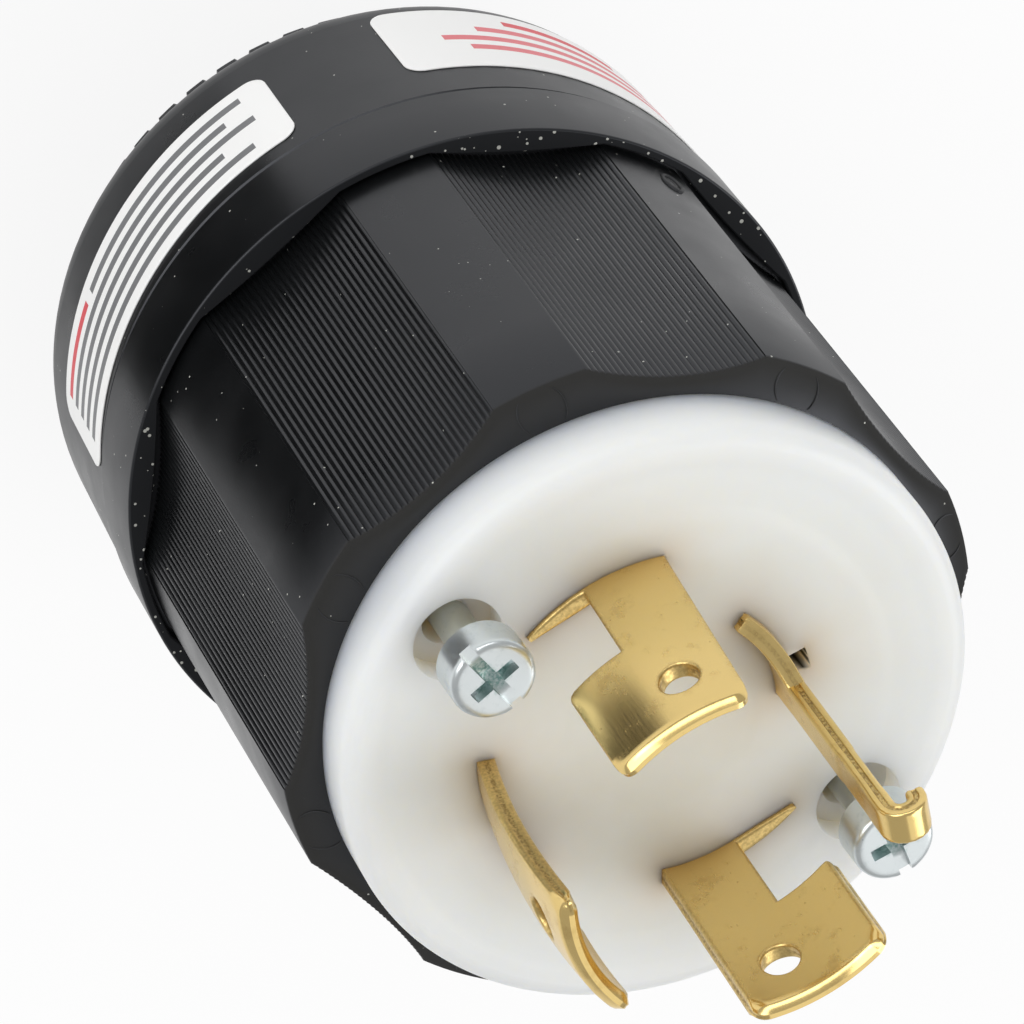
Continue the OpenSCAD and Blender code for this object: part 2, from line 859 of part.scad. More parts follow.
module label_left() {
    sticker(label_left_clock, label_left_w, label_left_gap);
}

module label_right() {
    sticker(label_right_clock - label_deg, label_right_w, label_right_gap);
}

front_face();
blade_line_1();
blade_line_2();
blade_neutral();
blade_ground();
assembly_screws();
screw_inserts();
grip_shell();
rear_shell();
terminal_block();
clamp_plate_line_1();
clamp_plate_line_2();
clamp_plate_neutral();
clamp_plate_ground();
terminal_screws_line();
terminal_screw_neutral();
terminal_screw_ground();
gland_nut();
thrust_washer();
cord_seal();
label_left();
label_right();
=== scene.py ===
"""Looks of a cord-end locking plug: its visible pieces as worked-out surfaces, finishes, light and camera.

Sizes are in millimetres in the part's own frame: +Z runs along the plug's axis towards the blades, and the
plug stands on its gland nut. Angles are degrees round that axis from +X. Meshes are turned to metres last.
"""

import logging
import math
from dataclasses import dataclass
from enum import Enum
from functools import partial
from typing import Any, Callable, NamedTuple, Sequence

import bmesh
import bpy
import numpy as np
from bpy.types import Material, Node, NodeSocket, NodeTree, Object
from mathutils import Matrix, Vector


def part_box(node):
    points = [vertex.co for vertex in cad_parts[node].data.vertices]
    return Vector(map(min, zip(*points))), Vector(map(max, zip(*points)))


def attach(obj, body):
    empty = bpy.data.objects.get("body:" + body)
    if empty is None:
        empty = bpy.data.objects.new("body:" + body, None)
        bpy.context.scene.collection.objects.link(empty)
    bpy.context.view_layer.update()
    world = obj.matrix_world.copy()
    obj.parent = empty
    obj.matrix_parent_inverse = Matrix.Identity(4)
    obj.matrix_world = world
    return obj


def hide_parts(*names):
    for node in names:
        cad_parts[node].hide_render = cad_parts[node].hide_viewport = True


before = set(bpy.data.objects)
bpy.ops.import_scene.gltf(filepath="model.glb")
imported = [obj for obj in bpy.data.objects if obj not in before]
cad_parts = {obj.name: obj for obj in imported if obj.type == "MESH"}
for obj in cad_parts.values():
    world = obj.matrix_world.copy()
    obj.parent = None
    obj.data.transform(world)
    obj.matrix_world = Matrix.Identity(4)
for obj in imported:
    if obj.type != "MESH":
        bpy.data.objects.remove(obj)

Array = np.ndarray
Pair = tuple[float, float]
Triple = tuple[float, float, float]

LOG = logging.getLogger("plug")
MM = 0.001
BODY = "root"
# Points nearer than this are the same point
MERGE_MM = 0.0005
# Most of a noise texture's values lie between these two
NOISE_LOW, NOISE_HIGH = 0.3, 0.7
NYLON_IOR = 1.53


class Slot(Enum):
    """Names of the record's material slots, one for each kind of new piece."""

    WHITE_NYLON = "white_nylon"
    BLACK_NYLON = "black_nylon"
    BRASS = "brass"
    ZINC = "zinc_plated_steel"
    PAPER = "paper_sticker"


class Ink(Enum):
    """Colours of the printed bars."""

    RED = "#dd4d56"
    PALE_RED = "#e2757c"
    GREY = "#77787a"


@dataclass(frozen=True)
class Layout:
    """Heights that the pieces stand at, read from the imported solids, and sizes that several pieces share.

    A blade's slot begins at its start and runs on by its degrees.
    """

    nut_top: float
    parting: float
    rim: float
    face: float
    spigot: float
    block: float
    seat_r: float = 24.05
    sheet: float = 1.4
    blade_r: float = 13.5
    blade_starts: Triple = (74.6, 164.6, 254.6)
    blade_deg: float = 47.3
    neck_deg: float = 26.5
    strip_taper: float = 1.0
    ground_r: float = 9.4
    ground_start: float = -12.4
    ground_deg: float = 50.0
    screw_circle: float = 18.7
    screw_angles: Pair = (130.4, 310.4)

    @classmethod
    def from_frame(cls) -> "Layout":
        """Reads the heights from the boxes of the nodes.

        Returns:
            The layout with its heights in mm.
        """
        face_low, face_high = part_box("front_face")
        return cls(
            nut_top=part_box("gland_nut")[1].z / MM,
            parting=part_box("grip_shell")[0].z / MM,
            rim=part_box("grip_shell")[1].z / MM,
            face=face_high.z / MM,
            spigot=face_low.z / MM,
            block=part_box("terminal_block")[0].z / MM,
        )


def linear(hex_colour: str) -> tuple[float, float, float, float]:
    """Turns an sRGB hex colour into linear values with full alpha.

    Args:
        hex_colour: colour such as "#c79a4f".
    Returns:
        Red, green, blue and alpha for a shader socket.
    """
    parts = [int(hex_colour[i:i + 2], 16) / 255.0 for i in (1, 3, 5)]
    red, green, blue = (c / 12.92 if c <= 0.04045 else ((c + 0.055) / 1.055) ** 2.4 for c in parts)
    return red, green, blue, 1.0


def per_mm(size: float) -> float:
    """Texture scale that makes one cell of a pattern as large as a size in millimetres."""
    return 1.0 / (size * MM)


def add(tree: NodeTree, kind: str, inputs: dict[Any, Any] | None = None,
        **settings: Any) -> Node:
    """Adds one node with its settings and links.

    Args:
        tree: node tree that takes the node.
        kind: the node type, without the start that all shader nodes' types have.
        inputs: socket name or number, and the value, output socket or node (its first output) that feeds it.
        settings: attributes set on the node.
    Returns:
        The new node.
    """
    node = tree.nodes.new("ShaderNode" + kind)
    for name, value in settings.items():
        setattr(node, name, value)
    for key, value in (inputs or {}).items():
        value = value.outputs[0] if isinstance(value, Node) else value
        if isinstance(value, NodeSocket):
            tree.links.new(value, node.inputs[key])
        else:
            node.inputs[key].default_value = value
    return node


def blank_material(name: str, **constants: Any) -> tuple[Material, NodeTree,
                                                         Node]:
    """Makes a material with one Principled shader at its output.

    Args:
        name: name of the finish.
        constants: values of the shader's own sockets, by their names with underscores for spaces.
    Returns:
        The material, its node tree and the shader.
    """
    material = bpy.data.materials.new(name)
    material.use_nodes = True
    tree = material.node_tree
    tree.nodes.clear()
    inputs = {key.replace("_", " "): value for key, value in constants.items()}
    shader = add(tree, "BsdfPrincipled", inputs)
    add(tree, "OutputMaterial", {"Surface": shader.outputs["BSDF"]})
    return material, tree, shader


@dataclass(frozen=True)
class Grain:
    """Fine unevenness of a surface: noise of a real size that tilts the shader's normal."""

    size_mm: float
    strength: float
    depth_mm: float
    detail: float

    def roughen(self, tree: NodeTree, shader: Node, place: NodeSocket) -> None:
        """Adds the grain to a material.

        Args:
            tree: the material's node tree.
            shader: shader whose normal it tilts.
            place: coordinates that the noise follows.
        """
        noise = add(tree, "TexNoise",
                    {"Vector": place, "Scale": per_mm(self.size_mm), "Detail": self.detail})
        bump = add(tree, "Bump", {"Height": noise, "Strength": self.strength,
                                            "Distance": self.depth_mm * MM})
        tree.links.new(bump.outputs[0], shader.inputs["Normal"])


@dataclass(frozen=True)
class BlackNylon:
    """Glass-filled nylon as moulded: deep black, satin, with a fine grain, dust specks and a duller rim.

    The point attribute "dull" greys it and takes the gloss off. "dusty" takes the gloss off too and makes the
    specks larger and more frequent.
    """

    name: str = "moulded_black_nylon"
    colour: str = "#0a0b0c"
    worn: str = "#111213"
    dull: str = "#272623"
    dust: str = "#b9b9b2"
    sheen: str = "#f3f6ff"
    roughness: float = 0.3
    gloss_spread: Pair = (-0.04, 0.06)
    dull_roughness: float = 0.92
    cloud_mm: float = 6.0
    speck_gap_mm: float = 0.62
    speck_share: float = 0.14
    speck_limit: float = 0.86
    dusty_limit_share: float = 0.2
    # The real grain is about 0.03 mm and is drawn coarser so that it shows
    grain: Grain = Grain(0.14, 0.12, 0.03, 2.0)

    def build(self) -> Material:
        """Builds the node material.

        Returns:
            The material.
        """
        material, tree, shader = blank_material(self.name, IOR=NYLON_IOR, Specular_Tint=linear(self.sheen))
        place = add(tree, "TexCoord").outputs["Object"]
        dull, dusty = (add(tree, "Attribute", attribute_name=name).outputs["Fac"]
                       for name in ("dull", "dusty"))
        cloud = add(tree, "TexNoise",
                    {"Vector": place, "Scale": per_mm(self.cloud_mm), "Detail": 4.0})
        base = add(tree, "Mix", {0: cloud, 6: linear(self.colour), 7: linear(self.worn)},
                   data_type="RGBA")
        dulled = add(tree, "Mix", {0: dull, 6: base.outputs[2], 7: linear(self.dull)},
                     data_type="RGBA")
        cells = add(tree, "TexVoronoi", {"Vector": place, "Scale": per_mm(self.speck_gap_mm)})
        # A speck shows in the cells whose random red is high, and its size follows the random green
        pick = add(tree, "SeparateColor", {0: cells.outputs["Color"]})
        share = add(tree, "Math", {0: dusty, 1: self.speck_share, 2: self.speck_share},
                    operation="MULTIPLY_ADD")
        reach = add(tree, "Math", {0: pick.outputs[1], 1: share}, operation="MULTIPLY")
        near = add(tree, "Math", {0: cells.outputs["Distance"], 1: reach},
                   operation="LESS_THAN")
        fall = (self.dusty_limit_share - 1.0) * self.speck_limit
        limit = add(tree, "Math", {0: dusty, 1: fall, 2: self.speck_limit}, operation="MULTIPLY_ADD")
        rare = add(tree, "Math", {0: pick, 1: limit}, operation="GREATER_THAN")
        speck = add(tree, "Math", {0: near, 1: rare}, operation="MULTIPLY")
        specked = add(tree, "Mix", {0: speck, 6: dulled.outputs[2], 7: linear(self.dust)},
                      data_type="RGBA")
        tree.links.new(specked.outputs[2], shader.inputs["Base Color"])
        low, high = self.gloss_spread
        gloss = add(tree, "MapRange", {0: cloud, 1: NOISE_LOW, 2: NOISE_HIGH,
                                                 3: self.roughness + low, 4: self.roughness + high})
        flat = add(tree, "Math", {0: dull, 1: dusty}, operation="MAXIMUM")
        rough = add(tree, "Mix", {0: flat, 2: gloss, 3: self.dull_roughness})
        tree.links.new(rough.outputs[0], shader.inputs["Roughness"])
        self.grain.roughen(tree, shader, place)
        return material


@dataclass(frozen=True)
class WhiteNylon:
    """Unfilled white nylon as moulded: milky, a little see-through at its edges, creamier in the middle from
    brown showing through and painted shade of the blades.

    One point attribute brings in a painted glow: the warm light that the brass throws on the face and that
    comes through the nylon in the screw holes. "hollow" darkens the deep walls and floor of the gauge slot as
    painted shade.
    """

    name: str = "moulded_white_nylon"
    colour: str = "#eef0ec"
    # Creamy tone of the middle: partly the brown showing through, partly painted shade of the blades
    cream_and_shade: str = "#dcd6c5"
    # Painted glow: the brass's warm light on the face, and light through the nylon in the screw holes
    glow: str = "#e2b982"
    # Painted shade on the deep gauge slot's walls and floor
    hollow: str = "#070605"
    roughness: float = 0.36
    gloss_spread: Pair = (-0.05, 0.07)
    cream_shade_inside_mm: float = 13.0
    cream_shade_outside_mm: float = 20.5
    cream_shade_shares: Pair = (0.85, 0.1)
    cloud_mm: float = 9.0
    scatter: float = 0.85
    scatter_mm: float = 12.0
    scatter_reach: Triple = (1.0, 0.9, 0.7)
    grain: Grain = Grain(0.5, 0.05, 0.05, 3.0)

    def build(self) -> Material:
        """Builds the node material.

        Returns:
            The material.
        """
        material, tree, shader = blank_material(
            self.name, IOR=NYLON_IOR, Subsurface_Weight=self.scatter, Subsurface_Radius=self.scatter_reach,
            Subsurface_Scale=self.scatter_mm * MM)
        place = add(tree, "TexCoord").outputs["Object"]
        flat = add(tree, "VectorMath", {0: place, 1: (1.0, 1.0, 0.0)}, operation="MULTIPLY")
        radius = add(tree, "VectorMath", {0: flat}, operation="LENGTH")
        cloud = add(tree, "TexNoise",
                    {"Vector": place, "Scale": per_mm(self.cloud_mm), "Detail": 3.0})
        # Creamier towards the middle: partly the brown showing through, partly painted shade of the blades
        inside, outside = self.cream_shade_shares
        thick = add(tree, "MapRange",
                    {0: radius.outputs["Value"], 1: self.cream_shade_inside_mm * MM, 2: self.cream_shade_outside_mm * MM,
                     3: inside, 4: outside})
        tint: Any = linear(self.colour)
        patchy_cream_shade = add(tree, "Math", {0: thick, 1: cloud}, operation="MULTIPLY")
        # Painted glow of the brass and of light through the nylon, and painted shade of the deep gauge slot
        warm, hollow = (add(tree, "Attribute", attribute_name=name).outputs["Fac"]
                        for name in ("warm", "hollow"))
        for amount, colour in ((patchy_cream_shade.outputs[0], self.cream_and_shade), (warm, self.glow), (hollow, self.hollow)):
            tint = add(tree, "Mix", {0: amount, 6: tint, 7: linear(colour)},
                       data_type="RGBA").outputs[2]
        tree.links.new(tint, shader.inputs["Base Color"])
        low, high = self.gloss_spread
        gloss = add(tree, "MapRange", {0: cloud, 1: NOISE_LOW, 2: NOISE_HIGH,
                                                 3: self.roughness + low, 4: self.roughness + high})
        tree.links.new(gloss.outputs[0], shader.inputs["Roughness"])
        self.grain.roughen(tree, shader, place)
        return material


@dataclass(frozen=True)
class Metal:
    """Sheet or turned metal: a coloured mirror with brushed streaks, stains and small pits.

    The point attribute "polish" makes it a clear mirror, and "sunk" brings in the dark grain of torn metal.
    """

    name: str
    colour: str
    stain: str
    deep: str
    roughness: float
    stain_mm: float
    stain_share: float
    streak_mm: Triple = (0.16, 0.16, 5.0)
    streak_spread: Pair = (-0.015, 0.025)
    streak_bump: float = 0.012
    streak_depth_mm: float = 0.02
    stain_range: Pair = (0.62, 0.78)
    stain_limit: float = 0.6
    stain_roughness: float = 0.16
    pit_gap_mm: float = 1.7
    pit_share: float = 0.035
    torn_mm: float = 0.22
    torn_range: Pair = (0.35, 0.65)
    torn_least: float = 0.3
    torn_roughness: float = 0.35
    polished: float = 0.16

    def build(self) -> Material:
        """Builds the node material.

        Returns:
            The material.
        """
        material, tree, shader = blank_material(self.name, Metallic=1.0)
        place = add(tree, "TexCoord").outputs["Object"]
        polish, sunk = (add(tree, "Attribute", attribute_name=name).outputs["Fac"]
                        for name in ("polish", "sunk"))
        stains = add(tree, "TexNoise", {"Vector": place, "Scale": per_mm(self.stain_mm),
                                                  "Detail": 6.0, "Roughness": 0.65})
        low, high = self.stain_range
        amount = add(tree, "MapRange", {0: stains, 1: low - self.stain_share, 2: high,
                                                  3: 0.0, 4: self.stain_limit})
        cells = add(tree, "TexVoronoi", {"Vector": place, "Scale": per_mm(self.pit_gap_mm)})
        pit = add(tree, "Math", {0: cells.outputs["Distance"], 1: self.pit_share},
                  operation="LESS_THAN")
        worn = add(tree, "Math", {0: amount, 1: pit}, operation="MAXIMUM")
        tint = add(tree, "Mix", {0: worn, 6: linear(self.colour), 7: linear(self.stain)},
                   data_type="RGBA")
        torn = add(tree, "TexNoise", {"Vector": place, "Scale": per_mm(self.torn_mm), "Detail": 2.0})
        low, high = self.torn_range
        grainy = add(tree, "MapRange", {0: torn, 1: low, 2: high, 3: self.torn_least})
        dark = add(tree, "Math", {0: sunk, 1: grainy}, operation="MULTIPLY")
        deep = add(tree, "Mix", {0: dark, 6: tint.outputs[2], 7: linear(self.deep)},
                   data_type="RGBA")
        tree.links.new(deep.outputs[2], shader.inputs["Base Color"])
        along = add(tree, "Mapping", {"Vector": place,
                                                "Scale": tuple(per_mm(size) for size in self.streak_mm)})
        streaks = add(tree, "TexNoise", {"Vector": along, "Scale": 1.0, "Detail": 3.0})
        low, high = self.streak_spread
        rough = add(tree, "MapRange", {0: streaks, 1: NOISE_LOW, 2: NOISE_HIGH,
                                                 3: self.roughness + low, 4: self.roughness + high})
        for more, share in ((worn, self.stain_roughness), (dark, self.torn_roughness)):
            rough = add(tree, "Math", {0: more, 1: share, 2: rough},
                        operation="MULTIPLY_ADD")
        shine = add(tree, "Mix", {0: polish, 2: rough, 3: self.polished})
        tree.links.new(shine.outputs[0], shader.inputs["Roughness"])
        bump = add(tree, "Bump", {"Height": streaks, "Strength": self.streak_bump,
                                            "Distance": self.streak_depth_mm * MM})
        tree.links.new(bump.outputs[0], shader.inputs["Normal"])
        return material


@dataclass(frozen=True)
class Dull:
    """Rubber or phenolic as moulded: a plain coloured body with clouds and a fine grain."""

    name: str
    colour: str
    second: str
    roughness: float
    gloss_spread: Pair = (-0.06, 0.06)
    cloud_mm: float = 3.0
    grain: Grain = Grain(0.3, 0.2, 0.04, 2.0)

    def build(self) -> Material:
        """Builds the node material.

        Returns:
            The material.
        """
        material, tree, shader = blank_material(self.name)
        place = add(tree, "TexCoord").outputs["Object"]
        cloud = add(tree, "TexNoise",
                    {"Vector": place, "Scale": per_mm(self.cloud_mm), "Detail": 5.0})
        tint = add(tree, "Mix",
                   {0: cloud, 6: linear(self.colour), 7: linear(self.second)}, data_type="RGBA")
        tree.links.new(tint.outputs[2], shader.inputs["Base Color"])
        low, high = self.gloss_spread
        gloss = add(tree, "MapRange", {0: cloud, 1: NOISE_LOW, 2: NOISE_HIGH,
                                                 3: self.roughness + low, 4: self.roughness + high})
        tree.links.new(gloss.outputs[0], shader.inputs["Roughness"])
        self.grain.roughen(tree, shader, place)
        return material


class Bar(NamedTuple):
    """Plain printed bar: its row, its start and end along the paper in mm, and its colour."""

    row: int
    start: float
    end: float
    ink: Ink


@dataclass(frozen=True)
class PrintedPaper:
    """Coated white paper, smooth and even, with plain printed bars in rows."""

    name: str
    width: float
    bars: tuple[Bar, ...]
    rows: int = 5
    margin: float = 0.9
    paper: str = "#f7f7f6"
    bar_share: float = 0.5
    roughness: float = 0.42
    grain: Grain = Grain(0.4, 0.06, 0.03, 3.0)

    def build(self) -> Material:
        """Builds the node material; the point attribute "print" holds the place on the paper in mm.

        Returns:
            The material.
        """
        material, tree, shader = blank_material(self.name, Roughness=self.roughness)
        spot = add(tree, "Attribute", attribute_name="print")
        xyz = add(tree, "SeparateXYZ", {0: spot.outputs["Vector"]})
        pitch = (self.width - 2 * self.margin) / self.rows
        tint: Any = linear(self.paper)
        for row, start, end, ink in self.bars:
            middle = self.width - self.margin - (row + 0.5) * pitch
            sides = ((0, (start + end) / 2, (end - start) / 2), (1, middle, self.bar_share * pitch / 2))
            along, across = (add(tree, "Math", {0: xyz.outputs[axis], 1: centre, 2: reach},
                                 operation="COMPARE") for axis, centre, reach in sides)
            mask = add(tree, "Math", {0: along, 1: across},
                       operation="MULTIPLY")
            tint = add(tree, "Mix", {0: mask, 6: tint, 7: linear(ink.value)},
                       data_type="RGBA").outputs[2]
        tree.links.new(tint, shader.inputs["Base Color"])
        self.grain.roughen(tree, shader, add(tree, "TexCoord").outputs["Object"])
        return material


def grid_faces(rows: int, cols: int, wrap_rows: bool = False, wrap_cols: bool = False) -> Array:
    """Quads of a grid whose points are numbered row by row.

    Args:
        rows: number of rows.
        cols: number of points in a row.
        wrap_rows: joins the last row to the first.
        wrap_cols: joins the last point of each row to its first.
    Returns:
        Array of point numbers, four for each quad.
    """
    i, j = np.meshgrid(np.arange(rows - (not wrap_rows)), np.arange(cols - (not wrap_cols)), indexing="ij")
    i_next, j_next = (i + 1) % rows, (j + 1) % cols
    quads = np.stack([i * cols + j, i_next * cols + j, i_next * cols + j_next, i * cols + j_next], -1)
    return quads.reshape(-1, 4)


def polar(radius: Array | float, degrees: Array, height: Array | float) -> Array:
    """Points at a radius, angle and height, as one array with x, y and z last."""
    turn = np.radians(degrees)
    return np.stack(np.broadcast_arrays(radius * np.cos(turn), radius * np.sin(turn), height), -1)


def smooth(value: Array | float, low: float, high: float) -> Array:
    """Rises from 0 at low to 1 at high on a smooth cubic."""
    share = np.clip((np.asarray(value, float) - low) / (high - low), 0.0, 1.0)
    return share * share * (3.0 - 2.0 * share)


def edge_drop(distance: Array, radius: float) -> Array:
    """How far a quarter-round edge lies below the flat, at a distance from the rim."""
    inside = np.clip(radius - distance, 0.0, radius)
    return radius - np.sqrt(radius ** 2 - inside ** 2)


def lines(stops: Sequence[float], step: float) -> Array:
    """Line positions that pass through every stop, with spaces of about a step between them.

    Args:
        stops: positions in any order.
        step: largest space between two lines.
    Returns:
        Sorted positions.
    """
    places = sorted(set(round(s, 5) for s in stops))
    parts = [np.linspace(a, b, max(1, math.ceil((b - a) / step)) + 1)[:-1]
             for a, b in zip(places, places[1:])]
    return np.concatenate([*parts, [places[-1]]])


def beside(edge: float, side: int, gaps: Sequence[float]) -> list[float]:
    """An edge's own position and those of lines close to it, on its +1 or -1 side."""
    return [edge, *(edge + side * gap for gap in gaps)]


def block(xs: Array, ys: Array, x: float, y: float, reach_x: float,
          reach_y: float) -> tuple[int, int, int, int]:
    """Numbers of the lines on the four sides of a place.

    Args:
        xs: positions of the lines of the first kind.
        ys: positions of the lines of the second kind.
        x, y: the place.
        reach_x, reach_y: how far from it the lines are.
    Returns:
        First and last line of the first kind, then of the second kind.
    """
    i0, i1 = np.abs(xs[:, None] - [x - reach_x, x + reach_x]).argmin(0)
    j0, j1 = np.abs(ys[:, None] - [y - reach_y, y + reach_y]).argmin(0)
    return int(i0), int(i1), int(j0), int(j1)


class Surface:
    """Points in millimetres, quads and point values, gathered patch by patch into one closed mesh."""

    def __init__(self, name: str) -> None:
        """Starts an empty surface.

        Args:
            name: name of the piece.
        """
        self.name = name
        self.points: list[Array] = []
        self.faces: list[Array] = []
        self.values: dict[str, list[Array]] = {}
        self.count = 0

    def add(self, points: Array, faces: Array, **values: Array | float) -> None:
        """Adds a patch.

        Args:
            points: array with x, y and z last.
            faces: quads that number the patch's own points.
            values: point attributes by name, as one number or an array with one for each point.
        """
        # Points that no quad uses are dropped, so that none of them is merged with a point of the mesh
        used, numbers = np.unique(faces, return_inverse=True)
        for key in {*values, *self.values}:
            shape = np.shape(values.get(key, 0.0))
            width = shape[-1:] if len(shape) > 1 and shape[:-1] == points.shape[:-1] else ()
            given = np.broadcast_to(values.get(key, 0.0), points.shape[:-1] + width)
            past = self.values.setdefault(key, [np.zeros((self.count,) + width)] if self.count else [])
            past.append(given.reshape((-1,) + width)[used])
        self.points.append(points.reshape(-1, 3)[used])
        self.faces.append(numbers.reshape(faces.shape) + self.count)
        self.count += len(used)

    def piece(self, material: Material, slot: Slot, *replaced: str, sharp: float) -> None:
        """Makes the mesh object, closes its seams and rides it on the body.

        Args:
            material: finish of the piece.
            slot: the record's material slot; not used.
            replaced: CAD nodes that the piece stands for.
            sharp: angle in degrees from which an edge stays sharp.
        """
        mesh = bpy.data.meshes.new(self.name)
        mesh.from_pydata(np.concatenate(self.points) * MM, [], np.concatenate(self.faces).tolist())
        for key, parts in self.values.items():
            data = np.concatenate(parts).astype(np.float32)
            kind, field = ("FLOAT", "value") if data.ndim == 1 else ("FLOAT_VECTOR", "vector")
            mesh.attributes.new(key, kind, "POINT").data.foreach_set(field, data.ravel())
        shell = bmesh.new()
        shell.from_mesh(mesh)
        bmesh.ops.remove_doubles(shell, verts=shell.verts, dist=MERGE_MM * MM)
        bmesh.ops.recalc_face_normals(shell, faces=shell.faces)
        shell.to_mesh(mesh)
        shell.free()
        mesh.shade_smooth()
        mesh.set_sharp_from_angle(angle=math.radians(sharp))
        mesh.materials.append(material)
        thing = bpy.data.objects.new(self.name, mesh)
        bpy.context.scene.collection.objects.link(thing)
        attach(thing, BODY)
        if replaced:
            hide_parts(*replaced)
        LOG.info("%s: %d faces", self.name, len(mesh.polygons))


@dataclass
class Hole:
    """Round hole in a sheet: centre, radius and the block of lines that its rings of quads fill.

    The rings lie closer together at the circle, by the power crowd of their share of the way.
    """

    x: float
    y: float
    radius: float
    block: tuple[int, int, int, int]
    rings: int = 9
    crowd: float = 1.7

    def loop(self, grid: Array) -> Array:
        """Entries of a grid of points or point numbers, in order round the block."""
        i0, i1, j0, j1 = self.block
        return np.concatenate([grid[i0:i1, j0], grid[i1, j0:j1], grid[i1:i0:-1, j1], grid[i0, j1:j0:-1]])

    def turn(self, places: Array) -> Array:
        """Angles of places seen from the hole's centre, in radians."""
        return np.arctan2(places[:, 1] - self.y, places[:, 0] - self.x)

    def circle(self, turn: Array, radius: float) -> Array:
        """Places at given angles on a circle round the hole's centre."""
        return np.stack([self.x + radius * np.cos(turn), self.y + radius * np.sin(turn)], -1)


@dataclass
class Sheet:
    """Flat sheet on crossing lines, with cells left out and round holes.

    Attributes:
        points: places where the lines cross, as (lines one way, lines the other way, x and y).
        kept: which cells belong to the sheet.
        holes: round holes, each in a block of cells of its own that doesn't cross the seam.
        wrap: joins the last line of the second kind to the first.
    """

    points: Array
    kept: Array
    holes: Sequence[Hole] = ()
    wrap: bool = False

    def net(self) -> tuple[Array, Array]:
        """Places and quads of the sheet.

        A hole's block is filled by rings that go from the circle to the block's own edge.
        Returns:
            Places as (n, 2) and quads as (m, 4) point numbers.
        """
        first, second = self.points.shape[:2]
        count = first * second
        number = np.arange(count).reshape(first, second)
        kept = self.kept.copy()
        places = [self.points.reshape(-1, 2)]
        rings = []
        for hole in self.holes:
            i0, i1, j0, j1 = hole.block
            kept[i0:i1, j0:j1] = False
            loop = hole.loop(number)
            outer = places[0][loop]
            inner = hole.circle(hole.turn(outer), hole.radius)
            share = np.linspace(0.0, 1.0, hole.rings + 1)[:-1, None, None] ** hole.crowd
            ring = inner * (1.0 - share) + outer * share
            new = count + np.arange(hole.rings * len(loop)).reshape(hole.rings, -1)
            rows = np.concatenate([new, loop[None]])
            rings.append(rows.ravel()[grid_faces(hole.rings + 1, len(loop), wrap_cols=True)])
            places.append(ring.reshape(-1, 2))
            count += new.size
        cells = grid_faces(first, second, wrap_cols=self.wrap).reshape(*kept.shape, 4)
        return np.concatenate(places), np.concatenate([cells[kept], *rings])


def rim_edges(quads: Array) -> Array:
    """Finds the edges that only one quad has.

    Args:
        quads: point numbers, four for each quad.
    Returns:
        Pairs of point numbers, each in its quad's own direction.
    """
    edges = quads[:, [[0, 1], [1, 2], [2, 3], [3, 0]]].reshape(-1, 2)
    _, back, count = np.unique(np.sort(edges, 1), axis=0, return_inverse=True, return_counts=True)
    return edges[count[back.ravel()] == 1]


def wall_quads(edges: Array, upper: int, lower: int) -> Array:
    """Quads between two copies of the same edges, whose point numbers start at upper and at lower."""
    return np.concatenate([edges + upper, edges[:, ::-1] + lower], 1)


def rim_distance(places: Array, edges: Array, at_once: int = 1500) -> Array:
    """Distance of every place from the nearest of some edges.

    The foot of the perpendicular is held between an edge's two ends.
    Args:
        places: array of x and y.
        edges: pairs of place numbers.
        at_once: about how many places are worked out together, to save memory.
    Returns:
        One distance for each place.
    """
    start, run = places[edges[:, 0]], places[edges[:, 1]] - places[edges[:, 0]]
    size = np.maximum((run ** 2).sum(1), 1e-12)
    found = []
    for part in np.array_split(places, max(1, len(places) // at_once)):
        gap = part[:, None] - start
        share = np.clip((gap * run).sum(-1) / size, 0.0, 1.0)
        found.append(np.sqrt(((gap - share[..., None] * run) ** 2).sum(-1)).min(1))
    return np.concatenate(found)


def round_corner(points: Array, corner: Pair, side: tuple[int, int], radius: float,
                 slack: float = 1e-4) -> None:
    """Moves a sheet's points so that a square corner becomes a quarter circle.

    The square of the radius's size is taken to a quarter disc by the elliptical map x = a sqrt(1 - b^2 / 2),
    y = b sqrt(1 - a^2 / 2), with a and b counted from the corner's centre in radii.
    Args:
        points: sheet points, changed in place.
        corner: the square corner.
        side: direction from the corner to the metal, +1 or -1 in x and in y.
        radius: radius of the round.
        slack: how far outside the corner's own lines a point on them may lie.
    """
    inward = (points - corner) * np.array(side, float)
    inside = ((inward > -slack) & (inward < radius)).all(-1)
    a, b = np.moveaxis(1.0 - np.clip(inward[inside], 0.0, None) / radius, -1, 0)
    disc = np.stack([a * np.sqrt(1.0 - b ** 2 / 2), b * np.sqrt(1.0 - a ** 2 / 2)], -1)
    points[inside] = np.array(corner) + (1.0 - disc) * radius * np.array(side, float)


# Rows of a sheet's wall: share of the half thickness, and how deep the sheared groove is there
WALL_ROWS = ((1.0, 0.0), (0.55, 0.15), (0.35, 1.0), (-0.25, 1.0), (-0.45, 0.1), (-1.0, 0.0))
# Tarnish at the bottom of the groove
GROOVE_TARNISH = 0.75


